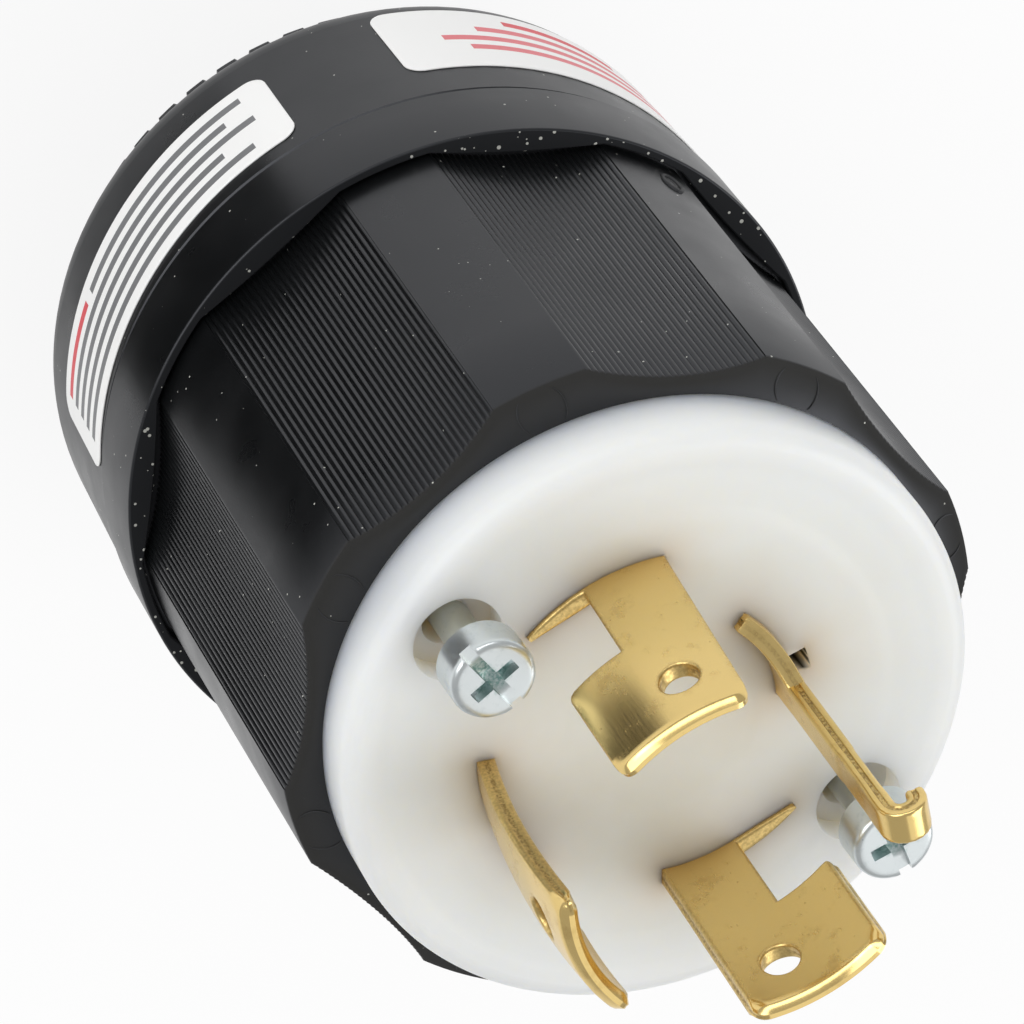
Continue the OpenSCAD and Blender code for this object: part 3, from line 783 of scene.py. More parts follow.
def slab(surface: Surface, sheet: Sheet, half: Callable[[Array, Array], Array],
         place: Callable[[Array, Array, Array], Array],
         values: Callable[[Array, Array], dict[str, Array]], groove: float = 0.0) -> None:
    """Gives a sheet its thickness and puts it in place as one closed shell.

    Args:
        surface: surface that takes the shell.
        sheet: the flat sheet.
        half: half the thickness, from the places and their distances to the rim.
        place: turns x, y and the distance from the middle surface into points in the part's frame.
        values: point attributes, from the places and their distances to the rim.
        groove: depth of the shallow, grainy groove that shearing leaves in the edges that face along x.
    """
    places, quads = sheet.net()
    edges = rim_edges(quads)
    gap = rim_distance(places, edges)
    thick = half(places, gap)
    x, y = places.T
    run = places[edges[:, 1]] - places[edges[:, 0]]
    outward = np.zeros_like(places)
    normal = np.stack([run[:, 1], -run[:, 0]], -1)
    np.add.at(outward, edges[:, 0], normal)
    np.add.at(outward, edges[:, 1], normal)
    outward /= np.maximum(np.linalg.norm(outward, axis=1, keepdims=True), 1e-9)
    sheared = groove * outward[:, 0] * np.abs(outward[:, 0])
    layers = [place(x - depth * sheared, y, share * thick) for share, depth in WALL_ROWS]
    size, last = len(places), len(WALL_ROWS) - 1
    walls = [wall_quads(edges, k * size, (k + 1) * size) for k in range(last)]
    faces = np.concatenate([quads, quads + last * size, *walls])
    tiled = {key: np.tile(value, (len(WALL_ROWS),) + (1,) * (value.ndim - 1))
             for key, value in values(places, gap).items()}
    if groove:
        torn = np.concatenate([GROOVE_TARNISH * depth * np.abs(outward[:, 0]) for _, depth in WALL_ROWS])
        tiled["sunk"] = np.maximum(tiled["sunk"], torn)
    surface.add(np.concatenate(layers), faces, **tiled)


@dataclass
class Grip:
    """Black grip: eight smooth lands, ribbed hollows between them, a sloping rim and a lip ring behind.

    Rim rows hold the distance inside the outline, the share of the ribs' depth and the drop below the slope.
    Flute shares count from the lip to the rim's edge, and rib marks across one rib.
    """

    layout: Layout
    front_r: float = 26.85
    rear_r: float = 27.2
    land_deg: float = 15.4
    land_points: int = 9
    lands: int = 8
    sag: float = 0.65
    ribs: int = 28
    rib_depth: float = 0.13
    rib_power: float = 0.8
    rib_marks: tuple[float, ...] = (0.0, 0.1, 0.25, 0.5, 0.75, 0.9)
    rim_rows: tuple[Triple, ...] = (
        (0.55, 0.0, 0.0), (0.25, 0.0, 0.0), (0.08, 0.6, 0.05), (0.0, 1.0, 0.22))
    flute_shares: tuple[float, ...] = (0.75, 0.5, 0.3, 0.15, 0.06, 0.0)
    bore_r: float = 21.6
    rim_slope: float = 0.4615
    seat_lap: float = 0.1
    lip_r: float = 28.3
    lip_h: float = 7.6
    lip_side: float = 2.0
    gap_h: float = 1.2
    gap_w: float = 0.35
    gap_sag: float = 0.25
    gap_edge: float = 0.12
    edge_r: float = 0.2
    edge_points: int = 5
    chamfer: float = 0.35
    recess_r: float = 25.8
    recess_h: float = 3.1

    def rim_z(self, r: Array | float) -> Array:
        """Height of the sloping rim, which falls from the face's seat outwards."""
        return self.layout.rim - self.rim_slope * np.clip(r - self.layout.seat_r, 0.0, None)

    def rib_shape(self, share: Array) -> Array:
        """Depth below the hollow at a share of its width: rounded crests, narrow grooves between them."""
        wave = np.abs(np.sin(np.pi * share * self.ribs))
        return self.rib_depth * (1.0 - wave ** self.rib_power)

    def outline(self, radius: Array, sag: float, ribbed: Array) -> tuple[Array, Array]:
        """Fluted outline at several heights.

        A land lies on its circle. A hollow is an arc whose middle lies a sag below the chord from land to
        land, and a rib's depth is taken off along the arc's own radius.
        Args:
            radius: land radius at each height.
            sag: sag of the hollows.
            ribbed: 1 for full ribs and 0 for a plain hollow, at each height.
        Returns:
            Radius and angle of every point, as (heights, points).
        """
        pitch = 360.0 / self.lands
        across = ((np.arange(self.ribs)[:, None] + self.rib_marks) / self.ribs).ravel()[1:]
        radius = radius[:, None]
        land_angle = np.broadcast_to(self.land_deg * np.linspace(-0.5, 0.5, self.land_points),
                                     (len(radius), self.land_points))
        land_r = np.broadcast_to(radius, land_angle.shape)
        sweep = np.radians(pitch - self.land_deg) / 2
        half = radius * np.sin(sweep)
        own = (half ** 2 + sag ** 2) / (2 * sag)
        centre = radius * np.cos(sweep) - sag + own
        turn = np.arcsin(half / own) * (2 * across - 1)
        arm = own + ribbed[:, None] * self.rib_shape(across)
        x, y = centre - arm * np.cos(turn), arm * np.sin(turn)
        hollow_angle = pitch / 2 + np.degrees(np.arctan2(y, x))
        r = np.concatenate([land_r, np.hypot(x, y)], 1)
        angle = np.concatenate([land_angle, hollow_angle], 1)
        turns = pitch * np.arange(self.lands)[:, None, None]
        return np.tile(r, (1, self.lands)), np.concatenate(list(angle + turns), 1)

    def flutes(self, z_lip: float) -> tuple[Array, Array, Array]:
        """Rows from the sloping rim over its edge and down the flutes to the floor of the gap at their foot.

        Args:
            z_lip: height of the lip's front.
        Returns:
            Radius, height and angle of every point, as (rows, points).
        """
        inset, ribbed, drop = np.array(self.rim_rows).T
        shares = np.array(self.flute_shares)
        front = np.concatenate([np.ones_like(inset), shares, [0.0]])
        ribbed = np.concatenate([ribbed, np.ones(len(shares) + 1)])
        r, angle = self.outline(self.rear_r + (self.front_r - self.rear_r) * front, self.sag, ribbed)
        r[:len(inset)] -= inset[:, None]
        z_rim = self.rim_z(r[:len(inset)]) - drop[:, None]
        z_flute = z_lip + (z_rim[-1] - z_lip) * shares[:, None]
        z_floor = np.full((1, r.shape[1]), z_lip - self.gap_h)
        return r, np.concatenate([z_rim, z_flute, z_floor]), angle

    def build(self, material: Material) -> None:
        """Builds the grip as one closed net, from the rim down the flutes, round the lip and up the bore.

        Args:
            material: finish of the grip.
        """
        z_part, z_rim = self.layout.parting, self.layout.rim
        z_lip, z_shelf = z_part + self.lip_h, z_part + self.recess_h
        r_flute, z_flute, angle = self.flutes(z_lip)
        gap_r = np.array([self.rear_r + self.gap_w])
        (r_gap,), (angle_gap,) = self.outline(gap_r, self.gap_sag, np.zeros(1))
        gap = [(r_gap, z_lip - self.gap_h), (r_gap, z_lip - self.gap_edge), (r_gap + self.gap_edge, z_lip)]
        arc = np.radians(np.linspace(0.0, 90.0, self.edge_points))
        round_r = self.lip_r - self.edge_r + self.edge_r * np.sin(arc)
        round_z = z_lip - self.edge_r + self.edge_r * np.cos(arc)
        plain = [*zip(round_r, round_z), (self.lip_r, z_part + self.lip_side),
                 (self.lip_r, z_part + self.chamfer), (self.lip_r - self.chamfer, z_part),
                 (self.recess_r, z_part), (self.recess_r, z_shelf), (self.bore_r, z_shelf),
                 (self.bore_r, z_rim), (self.layout.seat_r - self.seat_lap, z_rim)]
        ring = np.ones_like(r_gap)
        rows_r = [*r_flute, *(r * ring for r, _ in [*gap, *plain])]
        rows_z = [*z_flute, *(z * ring for _, z in [*gap, *plain])]
        rows_angle = [*angle, *(angle_gap for _ in [*gap, *plain])]
        points = polar(np.array(rows_r), np.array(rows_angle), np.array(rows_z))
        # The rim is dull up to its edge, and dust lies in the gap and on the lip's inner edge
        row = np.arange(len(points))[:, None] * np.ones(points.shape[1])
        dull = 1.0 * (row < len(self.rim_rows) - 1)
        dusty = 1.0 * ((row >= len(r_flute)) & (row <= len(r_flute) + len(gap)))
        surface = Surface("grip_body")
        faces = grid_faces(*points.shape[:2], wrap_rows=True, wrap_cols=True)
        surface.add(points, faces, dull=dull, dusty=dusty)
        surface.piece(material, Slot.BLACK_NYLON, "grip_shell", sharp=24.0)


@dataclass
class GlandNut:
    """Black gland nut: a hollow cone with a rim of low rounded teeth in front.

    The tooth marks, the tooth and its flank are shares of the pitch.
    """

    layout: Layout
    teeth: int = 52
    root_r: float = 24.1
    tip_r: float = 24.86
    tooth_share: float = 0.56
    flank: float = 0.12
    tooth_marks: tuple[float, ...] = (
        0.0, 0.08, 0.14, 0.18, 0.22, 0.26, 0.34, 0.5, 0.66, 0.74, 0.78, 0.82, 0.86, 0.92)
    rim_h: float = 2.0
    cone_r: float = 23.6
    end_r: float = 16.0
    edge: float = 0.8
    bore_r: float = 16.5
    wall: float = 4.0
    mouth_r: float = 10.8
    chamfer: float = 1.2
    soft: float = 0.1

    def build(self, material: Material) -> None:
        """Builds the nut as one closed net: rows run round its section, and in the rim they follow the teeth.

        A tooth is flat on top and falls to the root on a smooth cubic at both sides.
        Args:
            material: finish of the nut.
        """
        top = self.layout.nut_top
        foot = top - self.rim_h
        marks = np.array(self.tooth_marks)
        angles = 360.0 / self.teeth * (np.arange(self.teeth)[:, None] + marks).ravel()
        side = self.tooth_share / 2
        tooth = 1.0 - smooth(np.abs(np.tile(marks, self.teeth) - 0.5), side, side + self.flank)
        # Rows of the section: radius, height and whether the teeth stand on it
        rows = [(self.mouth_r + self.chamfer, 0.0, 0), (self.end_r - self.edge, 0.0, 0),
                (self.end_r, self.edge, 0), (self.cone_r, foot, 0),
                (self.root_r - self.soft, foot, 1), (self.root_r, foot + self.soft, 1),
                (self.root_r, top - self.soft, 1), (self.root_r - self.soft, top, 1),
                (self.bore_r, top, 0), (self.bore_r, self.wall, 0),
                (self.mouth_r, self.wall, 0), (self.mouth_r, self.chamfer, 0)]
        radius, height, toothed = (np.array(column)[:, None] for column in zip(*rows))
        points = polar(radius + toothed * (self.tip_r - self.root_r) * tooth, angles[None], height)
        surface = Surface("gland_nut_body")
        surface.add(points, grid_faces(*points.shape[:2], wrap_rows=True, wrap_cols=True), dull=0.0)
        surface.piece(material, Slot.BLACK_NYLON, "gland_nut", sharp=30.0)


@dataclass
class MouldMarks:
    """Marks that the mould left on the grip: a gate scar near the lip and pin circles on the sloping rim.

    A scar's ring holds its share of the scar's size, its half width and its rise. A pin's arc holds its first
    turn and its rise, and the waver holds waves round the ring, strengths and phases.
    """

    grip: Grip
    scar_at: Pair = (42.0, 43.4)
    scar_size: Pair = (0.75, 1.35)
    scar_rings: tuple[Triple, ...] = ((1.0, 0.2, 0.2), (0.45, 0.2, 0.08))
    scar_ragged: float = 0.04
    land_r: float = 27.14
    first_pin: float = 1.0
    pin_r: float = 25.3
    pin_size: float = 1.8
    pin_width: float = 0.07
    pin_arcs: tuple[Pair, ...] = ((0.0, 0.02), (180.0, 0.05))
    pin_span: Pair = (46.0, 134.0)
    waver: tuple[tuple[int, float, float], ...] = ((2, 1.0, 0.6), (5, 0.6, 0.0), (9, 0.4, 2.0))
    turns: int = 48
    sides: int = 10
    dull: float = 0.4

    def ring(self, surface: Surface, axes: Array, size: Pair, width: float, rise: float,
             ragged: float = 0.0, span: Pair | None = None) -> None:
        """Low ring, or a part of one, on a surface.

        A flattened tube goes round an ellipse. Its path wavers by a few harmonics of the turn, and a part
        of a ring runs out to a point at both ends.
        Args:
            surface: surface that takes the ring.
            axes: middle of the ring, and the unit directions of the ellipse's two half axes.
            size: the two half axes.
            width: half width of the tube.
            rise: half height of the tube, of which the upper half shows.
            ragged: share of the size by which the path wavers.
            span: first and last turn of a part of a ring, in degrees.
        """
        centre, across, along = axes
        share = np.linspace(0.0, 1.0, self.turns, endpoint=span is not None)[:, None]
        start, end = span or (0.0, 360.0)
        fade = np.sqrt(np.clip(np.sin(np.pi * share), 0.0, 1.0)) if span else np.ones_like(share)
        turn = np.radians(start + (end - start) * share)
        tube = np.linspace(0.0, 2.0 * np.pi, self.sides, endpoint=False)[None]
        waver = sum(strength * np.sin(waves * turn + phase) for waves, strength, phase in self.waver)
        path = 1.0 + ragged * waver
        reach_x = (size[0] * path + width * fade * np.cos(tube)) * np.cos(turn)
        reach_y = (size[1] * path + width * fade * np.cos(tube)) * np.sin(turn)
        height = rise * fade * np.sin(tube)
        normal = np.cross(across, along)
        points = centre + (reach_x[..., None] * across + reach_y[..., None] * along
                           + height[..., None] * normal)
        faces = grid_faces(*points.shape[:2], wrap_rows=span is None, wrap_cols=True)
        surface.add(points, faces, dull=self.dull)

    def build(self, material: Material) -> None:
        """Builds the scar as two rings, one inside the other, and two arcs of a circle for every pin.

        Args:
            material: finish of the grip.
        """
        surface = Surface("mould_marks")
        degrees, z_scar = self.scar_at
        on_land = np.stack([polar(self.land_r, np.array(degrees), z_scar),
                            polar(1.0, np.array(degrees + 90.0), 0.0), np.array([0.0, 0.0, 1.0])])
        for share, width, rise in self.scar_rings:
            size = (share * self.scar_size[0], share * self.scar_size[1])
            self.ring(surface, on_land, size, width, rise, self.scar_ragged)
        low, high = self.pin_span
        for degrees in self.first_pin + 360.0 / self.grip.lands * np.arange(self.grip.lands):
            outward = polar(1.0, degrees, -self.grip.rim_slope)
            on_rim = np.stack([polar(self.pin_r, degrees, self.grip.rim_z(self.pin_r)),
                               outward / np.linalg.norm(outward), polar(1.0, degrees + 90.0, 0.0)])
            for turn, rise in self.pin_arcs:
                self.ring(surface, on_rim, (self.pin_size, self.pin_size), self.pin_width, rise,
                          span=(turn + low, turn + high))
        surface.piece(material, Slot.BLACK_NYLON, sharp=60.0)


@dataclass
class Face:
    """White face disc: rounded edge, shallow ring and dish, blade slots, gauge slot and two screw holes.

    The screw block is the net's block round a screw hole: inner and outer radius, and half angle. The net's
    middle is a tiny hole, and edges less than the space inside from it or from the rim aren't a slot's.
    """

    layout: Layout
    edge_r: float = 1.5
    edge_points: int = 8
    spigot_r: float = 21.5
    spigot_step: float = 0.03
    relief: float = 0.12
    ring: Pair = (17.5, 21.4)
    dish_r: float = 7.3
    step_w: float = 1.2
    slot_edge_r: float = 0.03
    taper_reach: float = 1.8
    gauge_r: float = 11.6
    gauge_range: Pair = (-4.2, 5.3)
    gauge_depth: float = 9.0
    gauge_rim: float = 0.35
    head_hole_r: float = 3.35
    shank_hole_r: float = 1.8
    head_hole_h: float = 2.7
    # Share of painted glow on the screw holes' walls, standing in for light coming through the nylon
    hole_painted_glow: float = 0.25
    screw_block: Triple = (14.7, 22.6, 13.2)
    # Painted glow of the brass round the slots, and the distance over which it fades
    glow: float = 0.45
    glow_mm: float = 1.8
    centre_r: float = 0.02
    inside: float = 0.5
    line_gap: float = 0.7
    line_deg: float = 1.6

    def __post_init__(self) -> None:
        """Works out the radii of the slots that the blades stand in."""
        half = self.layout.sheet / 2
        self.blade_slot = (self.layout.blade_r - half, self.layout.blade_r + half)
        self.ground_slot = (self.layout.ground_r - half, self.layout.ground_r + half)
        self.ground_range = (self.layout.ground_start, self.layout.ground_start + self.layout.ground_deg)

    def height(self, r: Array) -> Array:
        """Front surface: flat, less the sunk ring and dish with soft steps, less the round of the outer edge.

        Args:
            r: distances from the plug's axis.
        Returns:
            Heights.
        """
        half = self.step_w / 2
        inner, outer = self.ring
        ring = smooth(r, inner - half, inner + half) - smooth(r, outer - half, outer + half)
        dish = 1.0 - smooth(r, self.dish_r - half, self.dish_r + half)
        return self.layout.face - self.relief * (ring + dish) - edge_drop(self.layout.seat_r - r, self.edge_r)

    def net_lines(self) -> tuple[Array, Array]:
        """Radii and angles of the net's lines, which pass along every slot, step and block.

        Returns:
            Radii, and angles from 0 up to the line before 360.
        """
        half = self.step_w / 2
        steps = [s + d for s in (self.dish_r, *self.ring) for d in (-half, -half / 3, half / 3, half)]
        arc = np.radians(np.linspace(0.0, 90.0, self.edge_points))
        rounds = self.layout.seat_r - self.edge_r * (1.0 - np.sin(arc))
        block_in, block_out, block_deg = self.screw_block
        radii = lines([self.centre_r, *steps, *self.ground_slot, self.gauge_r, *self.blade_slot,
                       self.spigot_r, self.spigot_r + self.spigot_step, block_in, block_out, *rounds],
                      self.line_gap)
        stops = [a for start in self.layout.blade_starts for a in (start, start + self.layout.blade_deg)]
        stops += [a % 360.0 for a in (*self.ground_range, *self.gauge_range)]
        stops += [a + d for a in self.layout.screw_angles for d in (-block_deg, block_deg)]
        return radii, lines([0.0, *stops, 360.0], self.line_deg)[:-1]

    def narrowed(self, radii: Array, angles: Array) -> Array:
        """Radii at the front, where the slots narrow as the strips beside the blades' necks do.

        A slot's inner side moves out by the taper times the squared share of the way from the neck to the
        slot's end. The lines inside it follow, and its outer side stays.
        Args:
            radii: radii of the net's lines.
            angles: angles of the net's lines.
        Returns:
            Radius of every crossing, as (radii, angles).
        """
        inner, outer = self.blade_slot
        follow = np.interp(radii, [inner - self.taper_reach, inner, outer], [0.0, 1.0, 0.0])
        neck, end = self.layout.neck_deg, self.layout.blade_deg
        turns = [(angles - start) % 360.0 for start in self.layout.blade_starts]
        past = sum(np.where(turn <= end + 1e-6, np.clip(turn - neck, 0.0, None), 0.0) for turn in turns)
        return radii[:, None] + self.layout.strip_taper * follow[:, None] * (past / (end - neck)) ** 2

    def slots(self, radii: Array, angles: Array) -> tuple[Array, Array]:
        """Cells of the net that lie in the slots.

        Args:
            radii: radii of the net's lines.
            angles: angles of the net's lines.
        Returns:
            Cells of the blades' slots, which go right through, and of the gauge slot, which is blind.
        """
        mid_r = (radii[:-1] + radii[1:])[:, None] / 2
        mid_a = ((angles + np.append(angles[1:], 360.0)) / 2)[None]
        deg = self.layout.blade_deg
        wanted = [(self.ground_slot, *self.ground_range),
                  *((self.blade_slot, start, start + deg) for start in self.layout.blade_starts),
                  ((self.ground_slot[1], self.gauge_r), *self.gauge_range)]
        *through, gauge = ((mid_r > low) & (mid_r < high) & ((mid_a - start) % 360.0 < end - start)
                           for (low, high), start, end in wanted)
        return np.any(through, 0), gauge

    def build(self, material: Material) -> None:
        """Builds the disc: the same net above and below, walls round every slot, and stepped screw holes.

        Args:
            material: finish of the disc.
        """
        radii, angles = self.net_lines()
        points = polar(radii[:, None], angles[None], 0.0)[..., :2]
        points_above = polar(self.narrowed(radii, angles), angles[None], 0.0)[..., :2]
        through, gauge = self.slots(radii, angles)
        block_in, block_out, block_deg = self.screw_block
        mid, reach = (block_in + block_out) / 2, (block_out - block_in) / 2
        blocks = [block(radii, angles, mid, angle, reach, block_deg) for angle in self.layout.screw_angles]
        centres = polar(self.layout.screw_circle, np.array(self.layout.screw_angles), 0.0)[:, :2]
        holes_above, holes_below = ([Hole(x, y, r, near) for (x, y), near in zip(centres, blocks)]
                                    for r in (self.head_hole_r, self.shank_hole_r))
        surface = Surface("face_disc")
        above, top = Sheet(points_above, ~(through | gauge), holes_above, wrap=True).net()
        below, base = Sheet(points, ~through, holes_below, wrap=True).net()
        edges = rim_edges(top)
        edge_r = np.hypot(*above[edges].mean(1).T)
        rim = edge_r > self.layout.seat_r - self.inside
        slotted = ~rim & (edge_r > self.inside)
        lip = rim_distance(above, edges[slotted])
        z_above = self.height(np.hypot(*above.T)) - edge_drop(lip, self.slot_edge_r)
        by_blade = edges[slotted & (edge_r < self.blade_slot[1] + self.inside)]
        # Painted glow: the brass's warm light on the face, fading away from the slots
        warm = self.glow * np.exp(-rim_distance(above, by_blade) / self.glow_mm)
        surface.add(np.column_stack([above, z_above]), top, hollow=0.0, warm=warm)
        on_spigot = np.hypot(*below.T) < self.spigot_r + self.spigot_step / 3
        z_below = np.where(on_spigot, self.layout.spigot, self.layout.rim)
        surface.add(np.column_stack([below, z_below]), base)
        on_grid = (edges < points_above[..., 0].size).all(1)
        blind = (edge_r > self.ground_slot[1]) & (edge_r < self.blade_slot[0] - self.inside)
        upper, lower = np.column_stack([above, z_above]), np.column_stack([below, z_below])[:len(above)]
        shaded = upper - [0.0, 0.0, self.gauge_rim]
        floor = np.column_stack([above, np.full(len(above), self.layout.face - self.gauge_depth)])
        # Walls: plain round the rim, with painted glow of the brass in the slots, and painted shade in the
        # gauge slot below its rim
        for edge, high, low, hollow, glow in (
                (on_grid & rim, upper, lower, 0.0, 0.0),
                (on_grid & slotted & ~blind, upper, lower, 0.0, self.glow),
                (on_grid & slotted & blind, upper, shaded, 0.0, self.glow),
                (on_grid & slotted & blind, shaded, floor, 1.0, 0.0)):
            walls = wall_quads(edges[edge], 0, len(high))
            surface.add(np.concatenate([high, low]), walls, hollow=hollow, warm=glow)
        cells = grid_faces(*points.shape[:2], wrap_cols=True).reshape(*gauge.shape, 4)
        # The gauge slot's floor is painted dark as shade
        surface.add(floor, cells[gauge], hollow=1.0)
        for head, shank in zip(holes_above, holes_below):
            self.screw_hole(surface, head, shank, points)
        surface.piece(material, Slot.WHITE_NYLON, "front_face", sharp=40.0)

    def screw_hole(self, surface: Surface, head: Hole, shank: Hole, points: Array) -> None:
        """Stepped hole from the face to the spigot's end, on the angles of the rings of quads round it.

        Args:
            surface: surface that takes the hole's walls.
            head: its wide part, for the screw's head.
            shank: its narrow part.
            points: crossings of the net's lines.
        """
        turn = head.turn(head.loop(points))
        z_rim = self.height(np.hypot(*head.circle(turn, head.radius).T)) - self.slot_edge_r
        z_floor = self.layout.face - self.head_hole_h
        # Rows down the hole: radius, height and share of the painted glow, which stands in for light through
        # the nylon
        rows = [(head.radius, z_rim, 0.0), (head.radius, z_floor, self.hole_painted_glow),
                (shank.radius, z_floor, self.hole_painted_glow), (shank.radius, self.layout.spigot, self.hole_painted_glow)]
        ring = np.stack([np.column_stack([head.circle(turn, r), np.broadcast_to(z, turn.shape)])
                         for r, z, _ in rows])
        warm = np.array([glow for _, _, glow in rows])[:, None] * np.ones(len(turn))
        surface.add(ring, grid_faces(len(rows), len(turn), wrap_cols=True), hollow=0.0, warm=warm)


@dataclass(kw_only=True)
class Blade:
    """What all brass blades share: a sheet with a tail that reaches down to its terminal screw.

    On the flat sheet x runs along the blade's circle and y up from the face. Each kind of blade adds its own
    place and values.

    Lines near an edge carry its round, and the screw's reach is that of the lines round its hole.
    """

    layout: Layout
    name: str
    node: str
    height: float
    tail_deg: float
    edge_r: float
    groove: float
    near: tuple[float, ...]
    line_gaps: Pair
    screw_reach: Pair
    tail_rise: float = 1.0
    screw_rise: float = 7.0
    screw_hole_r: float = 1.95
    sharp: float = 38.0

    def __post_init__(self) -> None:
        """Works out the heights of the tail's end, the spigot's end and the terminal screw over the face."""
        self.thick = self.layout.sheet
        self.bottom = self.layout.block + self.tail_rise - self.layout.face
        self.base = self.layout.spigot - self.layout.face
        self.screw_y = self.layout.block + self.screw_rise - self.layout.face

    def half(self, places: Array, gap: Array) -> Array:
        """Half thickness with a quarter round at every edge."""
        return self.thick / 2 - edge_drop(gap, self.edge_r)

    def net(self, x_stops: Sequence[float], y_stops: Sequence[float],
            screw_x: float) -> tuple[Array, Array, Array]:
        """Crossing lines of the flat blade.

        Args:
            x_stops: positions that lines of the first kind pass through.
            y_stops: positions that lines of the second kind pass through.
            screw_x: place of the terminal screw along the blade.
        Returns:
            Positions of the lines of both kinds, and the places where they cross.
        """
        reach_x, reach_y = self.screw_reach
        gap_x, gap_y = self.line_gaps
        xs = lines([*beside(0.0, 1, self.near), *x_stops, screw_x - reach_x, screw_x + reach_x], gap_x)
        ys = lines([*beside(self.bottom, 1, self.near), *beside(self.base, 1, self.near), *y_stops,
                    self.screw_y - reach_y, self.screw_y + reach_y], gap_y)
        return xs, ys, np.stack(np.meshgrid(xs, ys, indexing="ij"), -1)

    def screw_hole(self, xs: Array, ys: Array, screw_x: float) -> Hole:
        """Hole for the terminal screw."""
        near = block(xs, ys, screw_x, self.screw_y, *self.screw_reach)
        return Hole(screw_x, self.screw_y, self.screw_hole_r, near)

    def finish(self, sheet: Sheet, material: Material) -> None:
        """Gives the flat blade its thickness, bends it into place and makes the piece.

        Args:
            sheet: the flat blade.
            material: finish of the blade.
        """
        surface = Surface(self.name)
        slab(surface, sheet, self.half, self.place, self.values, self.groove)
        surface.piece(material, Slot.BRASS, self.node, sharp=self.sharp)


